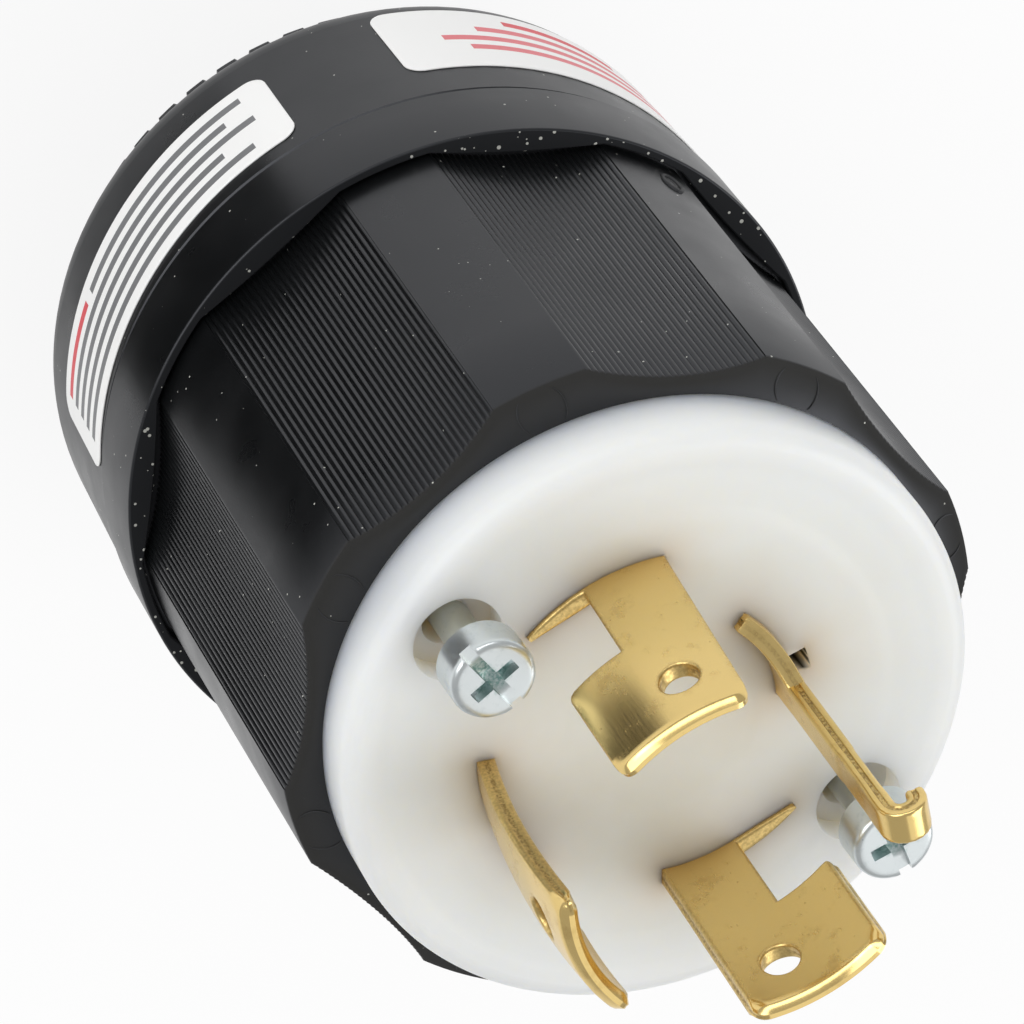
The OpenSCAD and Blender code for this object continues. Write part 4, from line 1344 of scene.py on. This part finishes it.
@dataclass(kw_only=True)
class LockingBlade(Blade):
    """Curved brass blade: a tail and base in the body, a narrow neck and a head that reaches over the notch.

    The bow is outwards at the face, half way up and at the tip. The bevel is the coined slope round the tip.
    Its fade is the distances below the tip where it comes in at the sides and where it is full.
    """

    start: float
    lean_mm: float = 0.0
    bow_mm: Triple = (0.0, 0.0, 0.0)
    root_h: float = 6.0
    height: float = 18.4
    tail_deg: float = 36.0
    notch_h: float = 8.1
    strip_h: float = 0.3
    corner_r: float = 1.1
    notch_corner_r: float = 0.7
    edge_r: float = 0.24
    bevel_h: float = 0.62
    bevel_t: float = 0.5
    bevel_power: float = 1.25
    bevel_fade: Pair = (1.9, 0.8)
    bevel_rows: tuple[float, ...] = (1.0, 0.85, 0.7, 0.55, 0.42, 0.32)
    edge_tarnish: float = 0.4
    edge_range: Pair = (0.35, 0.05)
    strip_tarnish: float = 0.45
    hole_deg: float = 16.4
    hole_h: float = 13.8
    hole_r: float = 1.5
    hole_reach: Pair = (2.1, 2.2)
    groove: float = 0.05
    near: tuple[float, ...] = (0.06, 0.14, 0.26)
    line_gaps: Pair = (0.45, 0.55)
    screw_reach: Pair = (2.9, 2.9)
    slack: float = 0.01

    def __post_init__(self) -> None:
        """Works out the lengths along the blade's circle to its neck, its head's end and its tail's end."""
        super().__post_init__()
        degrees = np.array([self.layout.neck_deg, self.layout.blade_deg, self.tail_deg, self.hole_deg])
        self.neck, self.head, self.tail, self.hole_x = np.radians(degrees) * self.layout.blade_r

    def place(self, x: Array, y: Array, w: Array) -> Array:
        """Bends the flat blade onto its circle.

        Above the face the straight edge leans by lean_mm at the tip, fading to nothing at the far end, and
        the whole blade bows outwards on a parabola through the three bow values. The strip beside the neck
        thins to its far end, on its inner side and more the higher it is.
        Args:
            x: lengths along the blade.
            y: heights over the face.
            w: distances outwards from the middle of the sheet.
        Returns:
            Points in the part's frame.
        """
        up = np.clip(y / self.height, 0.0, 1.0)
        lean = self.lean_mm * up * np.clip(1.0 - x / self.head, 0.0, 1.0)
        low, middle, high = self.bow_mm
        bow = low * (1 - up) * (1 - 2 * up) + 4 * middle * up * (1 - up) + high * up * (2 * up - 1)
        bow = np.where(y > 0.0, bow, low * smooth(y, -self.root_h, 0.0))
        share = np.clip((x - self.neck) / (self.head - self.neck), 0.0, 1.0)
        rise = np.clip(1.0 - y / self.base, 0.0, 1.0) * (y < self.strip_h + self.slack)
        thinned = self.layout.strip_taper * share ** 2 * rise * (0.5 - w / self.thick)
        radius = self.layout.blade_r
        degrees = self.start + np.degrees((x + lean) / radius)
        return polar(radius + w + bow + thinned, degrees, self.layout.face + y)

    def coin(self, places: Array, gap: Array) -> Array:
        """Share of the coined slope: 1 at the tip's rim, 0 inside it, fading out below the corners."""
        low, full = (self.height - below for below in self.bevel_fade)
        return smooth(places[:, 1], low, full) * np.clip(1.0 - gap / self.bevel_h, 0.0, 1.0)

    def half(self, places: Array, gap: Array) -> Array:
        """Half thickness: a quarter round at every edge and a coined slope, a little rounded, at the tip."""
        coined = self.thick / 2 - self.bevel_t * self.coin(places, gap) ** self.bevel_power
        return np.minimum(super().half(places, gap), coined)

    def values(self, places: Array, gap: Array) -> dict[str, Array]:
        """Polish on the coined tip, and tarnish on the other edges and on the strip beside the neck.

        Args:
            places: places on the flat blade.
            gap: their distances from its rim.
        Returns:
            Point attributes by name.
        """
        x, y = places.T
        tip = smooth(self.coin(places, gap), 0.0, 0.2)
        strip = (y < self.strip_h + self.slack) & (x > self.neck - self.slack)
        far, close = self.edge_range
        edge = self.edge_tarnish * smooth(-gap, -far, -close) * (1.0 - tip)
        return {"polish": np.where(strip, 0.0, tip), "sunk": np.where(strip, self.strip_tarnish, edge)}

    def build(self, material: Material) -> None:
        """Builds the blade as a flat sheet with its outline, rounds its corners and bends it into place.

        Args:
            material: finish of the blade.
        """
        (hole_dx, hole_dy), screw_x, top = self.hole_reach, self.tail / 2, self.height
        xs, ys, points = self.net(
            [*(x for edge in (self.neck, self.tail, self.head) for x in beside(edge, -1, self.near)),
             self.corner_r, self.head - self.corner_r, self.hole_x - hole_dx, self.hole_x + hole_dx],
            [*beside(self.strip_h, -1, self.near), *beside(self.notch_h, 1, self.near),
             *beside(top, -1, self.near), *(top - self.bevel_h * share for share in self.bevel_rows),
             self.notch_h + self.notch_corner_r, top - self.corner_r,
             self.hole_h - hole_dy, self.hole_h + hole_dy],
            screw_x)
        mid_x, mid_y = (xs[:-1] + xs[1:])[:, None] / 2, (ys[:-1] + ys[1:])[None] / 2
        kept = ((mid_y < self.base) & (mid_x < self.tail)) | ((mid_y > self.base) & (mid_y < self.strip_h))
        kept = kept | ((mid_y > self.strip_h) & (mid_x < self.neck)) | (mid_y > self.notch_h)
        for corner, side, radius in (((0.0, top), (1, -1), self.corner_r),
                                     ((self.head, top), (-1, -1), self.corner_r),
                                     ((self.head, self.notch_h), (-1, 1), self.notch_corner_r)):
            round_corner(points, corner, side, radius)
        near = block(xs, ys, self.hole_x, self.hole_h, hole_dx, hole_dy)
        holes = [Hole(self.hole_x, self.hole_h, self.hole_r, near), self.screw_hole(xs, ys, screw_x)]
        self.finish(Sheet(points, kept, holes), material)


@dataclass(kw_only=True)
class GroundBlade(Blade):
    """Narrow brass blade: a curved base with a sloping shoulder, a straight neck and a tip curled outwards.

    The shoulder is its height at the neck and at its end. A slight step in the neck comes and goes.
    """

    name: str = "ground_blade"
    node: str = "blade_ground"
    tail_deg: float = 34.0
    neck_w: float = 2.7
    height: float = 20.8
    hook_r: float = 1.15
    hook_end: float = 0.4
    shoulder: Pair = (3.0, 0.6)
    shoulder_power: float = 1.3
    unbend: Pair = (1.0, 4.0)
    neck_slack: float = 0.2
    step: float = 0.06
    step_up: Pair = (11.6, 12.2)
    step_down: Pair = (16.0, 18.0)
    hook_polish: float = 0.5
    hook_range: Pair = (3.0, 1.0)
    edge_polish: float = 0.5
    edge_range: Pair = (0.25, 0.05)
    edge_r: float = 0.26
    groove: float = 0.12
    near: tuple[float, ...] = (0.07, 0.16, 0.28)
    line_gaps: Pair = (0.4, 0.4)
    screw_reach: Pair = (2.4, 2.6)

    def place(self, x: Array, y: Array, w: Array) -> Array:
        """Bends the flat blade: round its circle at the base, flat in the neck, and over the hook's arc.

        On the arc the turn is the length past the straight neck over the hook's radius, up to half a turn,
        and what is left goes straight down again.
        Args:
            x: lengths along the blade.
            y: heights over the face, and lengths along the hook past the neck.
            w: distances outwards from the middle of the sheet.
        Returns:
            Points in the part's frame.
        """
        radius, start, z_face = self.layout.ground_r, self.layout.ground_start, self.layout.face
        straight = self.height - self.hook_r - self.thick / 2
        past = np.clip(y - straight, 0.0, None)
        turn = np.clip(past / self.hook_r, 0.0, math.pi)
        after = np.clip(past - math.pi * self.hook_r, 0.0, None)
        arm = self.hook_r - w
        out = radius + self.hook_r - arm * np.cos(turn)
        z = z_face + np.where(y > straight, straight + arm * np.sin(turn) - after, y)
        curved = polar(out, start + np.degrees(x / radius), z)
        middle = np.array(start + math.degrees(self.neck_w / 2 / radius))
        flat = polar(out, middle, z) + (x - self.neck_w / 2)[:, None] * polar(1.0, middle + 90.0, 0.0)
        share = (smooth(y, *self.unbend) * (x <= self.neck_w + self.neck_slack))[:, None]
        return curved * (1.0 - share) + flat * share

    def half(self, places: Array, gap: Array) -> Array:
        """Half thickness with a quarter round at every edge and a slight step part way up the neck."""
        step = smooth(places[:, 1], *self.step_up) * (1.0 - smooth(places[:, 1], *self.step_down))
        return super().half(places, gap) - self.step * step

    def values(self, places: Array, gap: Array) -> dict[str, Array]:
        """Polish on the rounded edges and on the hook.

        Args:
            places: places on the flat blade.
            gap: their distances from its rim.
        Returns:
            Point attributes by name.
        """
        low, high = self.hook_range
        far, close = self.edge_range
        hook = self.hook_polish * smooth(places[:, 1], self.height - low, self.height - high)
        edge = self.edge_polish * smooth(-gap, -far, -close)
        return {"polish": np.maximum(hook, edge), "sunk": np.zeros(len(places))}

    def build(self, material: Material) -> None:
        """Builds the blade as a flat sheet with its shoulder drawn down, then bends it into place.

        Args:
            material: finish of the blade.
        """
        end, tail = (math.radians(d) * self.layout.ground_r for d in (self.layout.ground_deg, self.tail_deg))
        length = self.height - self.hook_r - self.thick / 2 + math.pi * self.hook_r + self.hook_end
        high, low = self.shoulder
        xs, ys, points = self.net(
            [x for edge in (self.neck_w, tail, end) for x in beside(edge, -1, self.near)],
            [0.0, *beside(high, -1, self.near), *self.step_up, *self.step_down,
             *beside(length, -1, self.near)],
            tail / 2)
        mid_x, mid_y = (xs[:-1] + xs[1:])[:, None] / 2, (ys[:-1] + ys[1:])[None] / 2
        kept = ((mid_y < self.base) & (mid_x < tail)) | ((mid_y > self.base) & (mid_y < high))
        kept = kept | (mid_x < self.neck_w)
        x, y = points[..., 0], points[..., 1]
        share = np.clip((x - self.neck_w) / (end - self.neck_w), 0.0, 1.0)
        fall = low + (high - low) * (1.0 - share) ** self.shoulder_power
        points[..., 1] = np.where((x > self.neck_w) & (y > 0.0) & (y <= high + 1e-6), y * fall / high, y)
        self.finish(Sheet(points, kept, [self.screw_hole(xs, ys, tail / 2)]), material)


@dataclass
class LongScrews:
    """Two long zinc-plated screws with a slot and a cross in the head and a thread at the end.

    Each screw has its own height of the head over the face, turn of the slot and sideways lean of the head.
    """

    layout: Layout
    proud: Pair = (5.9, 5.8)
    slot_turns: Pair = (71.0, 55.0)
    leans: tuple[Pair, ...] = ((0.6, 0.0), (0.4, -0.2))
    lean_from: float = 12.0
    head_r: float = 3.15
    head_h: float = 3.2
    head_edge_r: float = 0.5
    head_edge_lines: tuple[float, ...] = (0.1, 0.25, 0.45)
    line_gap: float = 0.3
    under: float = 0.2
    neck: float = 0.15
    shank_r: float = 1.4
    engaged: float = 6.0
    slot_w: float = 1.0
    cross: float = 3.8
    slot_h: float = 0.9
    recess_h: float = 1.5
    tarnish: float = 0.8
    tarnish_mm: float = 0.9
    tarnish_past: float = 0.1
    wall_tarnish: float = 0.5
    pitch: float = 0.8
    rows_per_turn: int = 5
    thread_h: float = 9.0
    thread_depth: float = 0.4
    thread_start: float = 0.1
    thread_end: float = 0.5
    point: float = 0.6
    point_h: float = 0.6

    def head(self, surface: Surface, z_top: float, move: Callable[[Array], Array]) -> Array:
        """Top of the head with its recess.

        The lines are straight where the slot runs, and outside it they close in on the circle row by row.
        Args:
            surface: surface that takes the head.
            z_top: height of the head's top.
            move: puts points into the screw's place.
        Returns:
            Angles of the points on the head's outer circle.
        """
        half, arm = self.slot_w / 2, self.cross / 2
        end = math.sqrt(self.head_r ** 2 - half ** 2)
        edge = beside(self.head_r, -1, self.head_edge_lines)
        stops = [-arm, -half, 0.0, half, arm]
        xs = lines([*stops, *edge, *(-x for x in edge)], self.line_gap)
        rows = lines([-end, *stops, end], self.line_gap)
        x, y = np.meshgrid(xs, rows, indexing="ij")
        width = np.sqrt(np.maximum(self.head_r ** 2 - y ** 2, half ** 2))
        outside = np.clip((np.abs(x) - half) / (self.head_r - half), 0.0, 1.0)
        in_slot = np.abs(x) <= half
        x_new = np.where(in_slot, x, np.sign(x) * (half + outside * (width - half)))
        last = np.abs(y) > end - 1e-6
        y_new = np.where(last & in_slot, np.sign(y) * np.sqrt(self.head_r ** 2 - x ** 2), y)
        points = np.stack([x_new, y_new], -1)
        mid_x, mid_y = np.abs(xs[:-1] + xs[1:])[:, None] / 2, np.abs(rows[:-1] + rows[1:])[None] / 2
        recess = (mid_x < half) | ((mid_y < half) & (mid_x < arm))
        flat, top = Sheet(points, ~recess).net()
        _, floor = Sheet(points, recess).net()
        reach = np.hypot(*flat.T)
        to_rim = self.head_r - reach
        z_flat = z_top - edge_drop(np.clip(to_rim, 0.0, None), self.head_edge_r)
        slope = np.clip(1.0 - reach / arm, 0.0, 1.0)
        z_floor = z_top - self.slot_h - (self.recess_h - self.slot_h) * slope
        upper, lower = (np.column_stack([flat, z]) for z in (z_flat, z_floor))
        tarnish = self.tarnish * smooth(arm + self.tarnish_past - reach, 0.0, self.tarnish_mm)
        surface.add(move(upper), top, sunk=0.0, polish=0.0)
        surface.add(move(lower), floor, sunk=tarnish)
        surface.add(move(np.concatenate([upper, lower])), wall_quads(rim_edges(top), 0, len(flat)),
                    sunk=np.concatenate([self.wall_tarnish * tarnish, tarnish]))
        rim = np.unique(np.round(flat[np.abs(to_rim) < 1e-5], 6), axis=0)
        return np.sort(np.degrees(np.arctan2(rim[:, 1], rim[:, 0])))

    def put(self, points: Array, angle: float, turn: float, slope: Array) -> Array:
        """Turns a screw's points about its axis, moves them to its hole and leans them as a loose screw does.

        Args:
            points: points with the screw's axis at the middle.
            angle: angle of the hole round the plug.
            turn: turn of the slot from that angle.
            slope: sideways move for each mm of height over the point from which the screw leans.
        Returns:
            Points in the part's frame.
        """
        spin = Matrix.Rotation(math.radians(angle + turn), 3, "Z")
        centre = polar(self.layout.screw_circle, np.array(angle), 0.0)
        above = np.clip(points[..., 2:] - (self.layout.face - self.lean_from), 0.0, None)
        return points @ np.array(spin).T + centre + above * slope

    def build(self, material: Material) -> None:
        """Builds both screws: the head's top, then rows down its side, the shank, the thread and the tip.

        The thread's depth is a triangle wave of the height in pitches less the share of a turn.
        Args:
            material: finish of the screws.
        """
        surface = Surface("long_screws")
        places = zip(self.layout.screw_angles, self.proud, self.slot_turns, self.leans)
        for angle, proud, turn, lean in places:
            z_top = self.layout.face + proud
            z_tip = self.layout.block - self.engaged + proud - self.proud[1]
            slope = np.array([*lean, 0.0]) / (proud + self.lean_from)
            move = partial(self.put, angle=angle, turn=turn, slope=slope)
            loop = self.head(surface, z_top, move)
            z_under = z_top - self.head_h
            step = self.pitch / self.rows_per_turn
            thread = np.arange(z_tip + self.point_h, z_tip + self.thread_h, step)[::-1]
            rows = [(self.head_r, z_top - self.slot_h), (self.head_r, z_under + self.under),
                    (self.head_r - self.under, z_under), (self.shank_r + self.neck, z_under),
                    (self.shank_r, z_under - self.neck), *((self.shank_r, z) for z in thread),
                    (self.shank_r - self.point, z_tip), (0.0, z_tip)]
            radius, z = (np.array(column)[:, None] for column in zip(*rows))
            wave = 1.0 - np.abs(2.0 * ((z / self.pitch - loop / 360.0) % 1.0) - 1.0)
            cut = (z < z_tip + self.thread_h - self.thread_end) & (z > z_tip + self.thread_start)
            points = polar(radius - np.where(cut, self.thread_depth * wave, 0.0), loop[None], z)
            surface.add(move(points), grid_faces(*points.shape[:2], wrap_cols=True), sunk=0.0)
        surface.piece(material, Slot.ZINC, "assembly_screws", sharp=34.0)


@dataclass
class Sticker:
    """Paper sticker on the band, with rounded corners.

    The skew is how much higher the far end lies than the near end, because it was stuck on askew.
    """

    layout: Layout
    name: str
    node: str
    paper: PrintedPaper
    start: float
    drop: float
    skew_mm: float = 0.0
    degrees: float = 67.4
    band_r: float = 28.1
    band_slope: float = 0.4 / 15.2
    thick: float = 0.15
    edge_r: float = 0.05
    corner_r: float = 1.5
    near: tuple[float, ...] = (0.03, 0.08)
    line_gap: float = 0.4

    def __post_init__(self) -> None:
        """Works out the sticker's length and width."""
        self.size = np.array([math.radians(self.degrees) * self.band_r, self.paper.width])

    def place(self, x: Array, y: Array, w: Array) -> Array:
        """Wraps the paper round the band's cone.

        Args:
            x: lengths along the paper.
            y: heights over its rear edge.
            w: distances outwards from the middle of the paper.
        Returns:
            Points in the part's frame.
        """
        z_part = self.layout.parting
        degrees = np.degrees(x / self.band_r)
        z = z_part - self.drop - self.paper.width + y + self.skew_mm * (degrees / self.degrees - 0.5)
        cone = self.band_r - self.band_slope * (z_part - z)
        return polar(cone + self.thick / 2 + w, self.start + degrees, z)

    def half(self, places: Array, gap: Array) -> Array:
        """Half thickness with a quarter round at every edge."""
        return self.thick / 2 - edge_drop(gap, self.edge_r)

    def values(self, places: Array, gap: Array) -> dict[str, Array]:
        """Place in the print, which starts at the far end with its first row along the rear edge."""
        return {"print": np.column_stack([self.size - places, np.zeros(len(places))])}

    def build(self) -> None:
        """Builds the sticker as a flat sheet with round corners and wraps it round the band."""
        xs, ys = (lines([*beside(0.0, 1, self.near), *beside(end, -1, self.near), self.corner_r,
                         end - self.corner_r], self.line_gap) for end in self.size)
        points = np.stack(np.meshgrid(xs, ys, indexing="ij"), -1)
        length, width = self.size
        for x, side_x in ((0.0, 1), (length, -1)):
            for y, side_y in ((0.0, 1), (width, -1)):
                round_corner(points, (x, y), (side_x, side_y), self.corner_r)
        kept = np.ones((len(xs) - 1, len(ys) - 1), bool)
        surface = Surface(self.name)
        slab(surface, Sheet(points, kept), self.half, self.place, self.values)
        surface.piece(self.paper.build(), Slot.PAPER, self.node, sharp=60.0)


@dataclass(frozen=True)
class Lamp:
    """Soft box: its name, its middle and its width and height in metres, and its power in watts."""

    name: str
    place: Triple
    size: Pair
    power: float


@dataclass
class Studio:
    """Floor, lamps, world and camera.

    The aim is the point in metres that the lamps face. Right and down are directions of the picture's sides.
    The white shares are those of plain white in the floor, for the camera and for reflections.
    """

    camera_mm: Triple = (-56.243, 234.032, 373.465)
    right: Triple = (0.905353, -0.254928, 0.339628)
    down: Triple = (-0.401465, -0.774505, 0.488843)
    lens_mm: float = 186.05
    sensor_mm: float = 36.0
    clip: Pair = (0.01, 20.0)
    aim: Triple = (0.0, 0.0, 0.06)
    lamps: tuple[Lamp, ...] = (
        Lamp("key", (0.82, -0.54, 0.9), (0.9, 0.9), 5.8),
        Lamp("fill", (-0.75, 0.68, 0.75), (0.9, 0.9), 5.1),
        Lamp("top", (0.14, -0.6, 0.9), (0.5, 0.5), 0.4),
        Lamp("front", (0.0, 1.0, 0.6), (1.3, 0.25), 2.6),
    )
    floor_half: float = 6.0
    floor_colour: str = "#fbfbfb"
    seen_white: float = 0.85
    mirrored_white: float = 0.26
    world_light: float = 0.5
    world_seen: float = 0.97
    card_reach: Pair = (39.0, 125.0)
    card_range: Pair = (104.0, 164.0)
    card_points: int = 13
    card_lift: float = 0.2
    card_colour: str = "#0a0a0a"
    matte: float = 0.9

    def camera(self) -> None:
        """Camera at the photograph's viewing angle."""
        data = bpy.data.cameras.new("camera")
        data.lens, data.sensor_width = self.lens_mm, self.sensor_mm
        data.clip_start, data.clip_end = self.clip
        right, down = Vector(self.right), Vector(self.down)
        turn = Matrix((right, -down, -right.cross(down))).transposed().to_4x4()
        thing = bpy.data.objects.new("camera", data)
        thing.matrix_world = Matrix.Translation(Vector(self.camera_mm) * MM) @ turn
        bpy.context.scene.collection.objects.link(thing)
        bpy.context.scene.camera = thing

    def light(self, lamp: Lamp) -> None:
        """Hangs one lamp, turned to the aim.

        Args:
            lamp: the lamp.
        """
        data = bpy.data.lights.new(lamp.name, "AREA")
        data.energy, data.shape = lamp.power, "RECTANGLE"
        data.size, data.size_y = lamp.size
        thing = bpy.data.objects.new(lamp.name, data)
        thing.location = lamp.place
        thing.rotation_euler = (Vector(self.aim) - Vector(lamp.place)).to_track_quat("-Z", "Y").to_euler()
        bpy.context.scene.collection.objects.link(thing)

    def flat(self, name: str, points: Array, finish: str,
             colour: str) -> tuple[Object, NodeTree, Node]:
        """Flat matt thing on the stage.

        Args:
            name: name of the thing.
            points: grid of its points in metres.
            finish: name of its material.
            colour: its colour.
        Returns:
            The object, its material's node tree and the shader.
        """
        mesh = bpy.data.meshes.new(name)
        mesh.from_pydata(points.reshape(-1, 3), [], grid_faces(*points.shape[:2]).tolist())
        material, tree, shader = blank_material(finish, Base_Color=linear(colour), Roughness=self.matte,
                                                Specular_IOR_Level=0.0)
        mesh.materials.append(material)
        thing = bpy.data.objects.new(name, mesh)
        bpy.context.scene.collection.objects.link(thing)
        return thing, tree, shader

    def floor(self) -> None:
        """Wide pale floor that the plug stands on.

        To the camera most of it is plain white and the rest is lit, so that a soft shadow is left.
        Reflections take a smaller share of the plain white.
        """
        ends = np.array([-self.floor_half, self.floor_half])
        points = np.stack(np.meshgrid(ends, ends, 0.0), -1)[:, :, 0][::-1]
        _, tree, shader = self.flat("floor", points, "pale_floor", self.floor_colour)
        path = add(tree, "LightPath").outputs
        mirrored = add(tree, "Math", {0: path["Is Glossy Ray"], 1: path["Is Transmission Ray"]},
                       operation="MAXIMUM")
        share = add(tree, "Math", {0: mirrored, 1: self.mirrored_white}, operation="MULTIPLY")
        plain = add(tree, "Math", {0: path["Is Camera Ray"], 1: self.seen_white, 2: share},
                    operation="MULTIPLY_ADD")
        white = add(tree, "Emission", {"Color": linear("#ffffff"), "Strength": 1.0})
        both = add(tree, "MixShader", {0: plain, 1: shader, 2: white})
        tree.links.new(both.outputs[0], tree.nodes["Material Output"].inputs["Surface"])

    def card(self) -> None:
        """Dark card on the floor beside the plug, seen in reflections only, which keeps two hollows dark.

        It is a part of a flat ring, cut off at two angles.
        """
        angles = np.linspace(*self.card_range, self.card_points)[None]
        points = polar(np.array(self.card_reach)[:, None], angles, self.card_lift) * MM
        thing, _, _ = self.flat("card", points, "black_card", self.card_colour)
        thing.visible_camera = thing.visible_shadow = thing.visible_diffuse = False

    def world(self) -> None:
        """Even white light from all round, which the camera sees as bright as the floor."""
        world = bpy.data.worlds.new("studio")
        world.use_nodes = True
        tree = world.node_tree
        path = add(tree, "LightPath").outputs
        more = self.world_seen - self.world_light
        strength = add(tree, "Math", {0: path["Is Camera Ray"], 1: more, 2: self.world_light},
                       operation="MULTIPLY_ADD")
        back = tree.nodes["Background"]
        back.inputs["Color"].default_value = linear("#ffffff")
        tree.links.new(strength.outputs[0], back.inputs["Strength"])
        bpy.context.scene.world = world

    def build(self) -> None:
        """Sets the camera, the floor, the card, the lamps and the world."""
        self.camera()
        self.floor()
        self.card()
        for lamp in self.lamps:
            self.light(lamp)
        self.world()
        bpy.context.scene.view_settings.view_transform = "Standard"


class Plug:
    """The whole plug: its new pieces and the finishes of the solids that stay."""

    def __init__(self) -> None:
        """Reads the layout and builds the finishes."""
        self.layout = Layout.from_frame()
        self.black = BlackNylon().build()
        self.white = WhiteNylon().build()
        # Brass gives a warm yellow mirror with faint brown stains
        self.brass = Metal("stamped_brass", "#e8cb86", "#bb9a5c", "#6e5530", 0.24, 2.4, 0.08).build()
        # Zinc plating gives a pale, evenly mottled grey that goes green in its hollows
        self.zinc = Metal("zinc_plated_steel", "#d6dcdd", "#b3bec0", "#5f978f", 0.3, 1.2, 0.08,
                          streak_mm=(0.3, 0.3, 0.3)).build()
        # Nickel plating gives a warm grey mirror, and the dyed screw a green one
        self.nickel = Metal("nickel_plated_steel", "#c9c5bd", "#8d8a83", "#5c5a55", 0.25, 2.0, 0.05).build()
        self.green = Metal("green_dyed_steel", "#3d7a4b", "#255233", "#1b3a25", 0.3, 2.0, 0.05).build()
        # Phenolic gives a satin brown and rubber a soft dark grey
        self.phenolic = Dull("moulded_phenolic", "#6b563a", "#5a4730", 0.5).build()
        self.rubber = Dull("moulded_rubber", "#37332f", "#2b2825", 0.7).build()

    def dress_solids(self) -> None:
        """Gives the solids that stay their finishes."""
        finishes = {
            "rear_shell": self.black, "terminal_block": self.phenolic, "thrust_washer": self.zinc,
            "clamp_plate_line_1": self.brass, "clamp_plate_line_2": self.brass,
            "clamp_plate_neutral": self.brass, "clamp_plate_ground": self.brass,
            "screw_inserts": self.brass, "terminal_screws_line": self.brass,
            "terminal_screw_neutral": self.nickel, "terminal_screw_ground": self.green,
            "cord_seal": self.rubber,
        }
        for name, material in finishes.items():
            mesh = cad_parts[name].data
            mesh.materials.clear()
            mesh.materials.append(material)

    def blades(self) -> list[LockingBlade]:
        """The three locking blades, each a little bent or cut in its own way.

        Returns:
            The blades in the order of their slots.
        """
        kinds = (("line_blade_upper", "blade_line_1", {"lean_mm": 0.9}),
                 ("neutral_blade", "blade_neutral", {"bow_mm": (0.0, 0.9, 0.4)}),
                 ("line_blade_lower", "blade_line_2", {"notch_corner_r": 0.4}))
        return [LockingBlade(layout=self.layout, name=name, node=node, start=start, **own)
                for (name, node, own), start in zip(kinds, self.layout.blade_starts)]

    def stickers(self) -> list[Sticker]:
        """The two stickers with their rows of bars.

        Returns:
            The left one, stuck on askew, and the right one.
        """
        left = PrintedPaper("printed_paper_left", 10.4, (
            Bar(0, 2.0, 10.2, Ink.RED), Bar(0, 11.2, 30.6, Ink.GREY), Bar(1, 2.0, 28.6, Ink.GREY),
            Bar(2, 2.0, 30.8, Ink.GREY), Bar(3, 2.0, 27.2, Ink.GREY), Bar(4, 2.0, 29.6, Ink.GREY)))
        right = PrintedPaper("printed_paper_right", 10.8, (
            Bar(0, 11.0, 22.0, Ink.RED), Bar(1, 8.0, 25.0, Ink.PALE_RED), Bar(2, 4.6, 28.4, Ink.PALE_RED),
            Bar(3, 6.4, 26.6, Ink.PALE_RED)))
        return [Sticker(self.layout, "sticker_left", "label_left", left, start=97.3, drop=1.3, skew_mm=1.4),
                Sticker(self.layout, "sticker_right", "label_right", right, start=9.7, drop=4.2)]

    def build(self) -> None:
        """Builds every piece in order."""
        self.dress_solids()
        grip = Grip(self.layout)
        grip.build(self.black)
        MouldMarks(grip).build(self.black)
        GlandNut(self.layout).build(self.black)
        Face(self.layout).build(self.white)
        for blade in self.blades():
            blade.build(self.brass)
        GroundBlade(layout=self.layout).build(self.brass)
        LongScrews(self.layout).build(self.zinc)
        for sticker in self.stickers():
            sticker.build()


def main() -> None:
    """Builds the plug and the studio."""
    logging.basicConfig(level=logging.INFO, format="%(name)s: %(message)s")
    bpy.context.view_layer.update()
    Plug().build()
    Studio().build()
    bpy.context.view_layer.update()


if __name__ == "__main__":
    main()
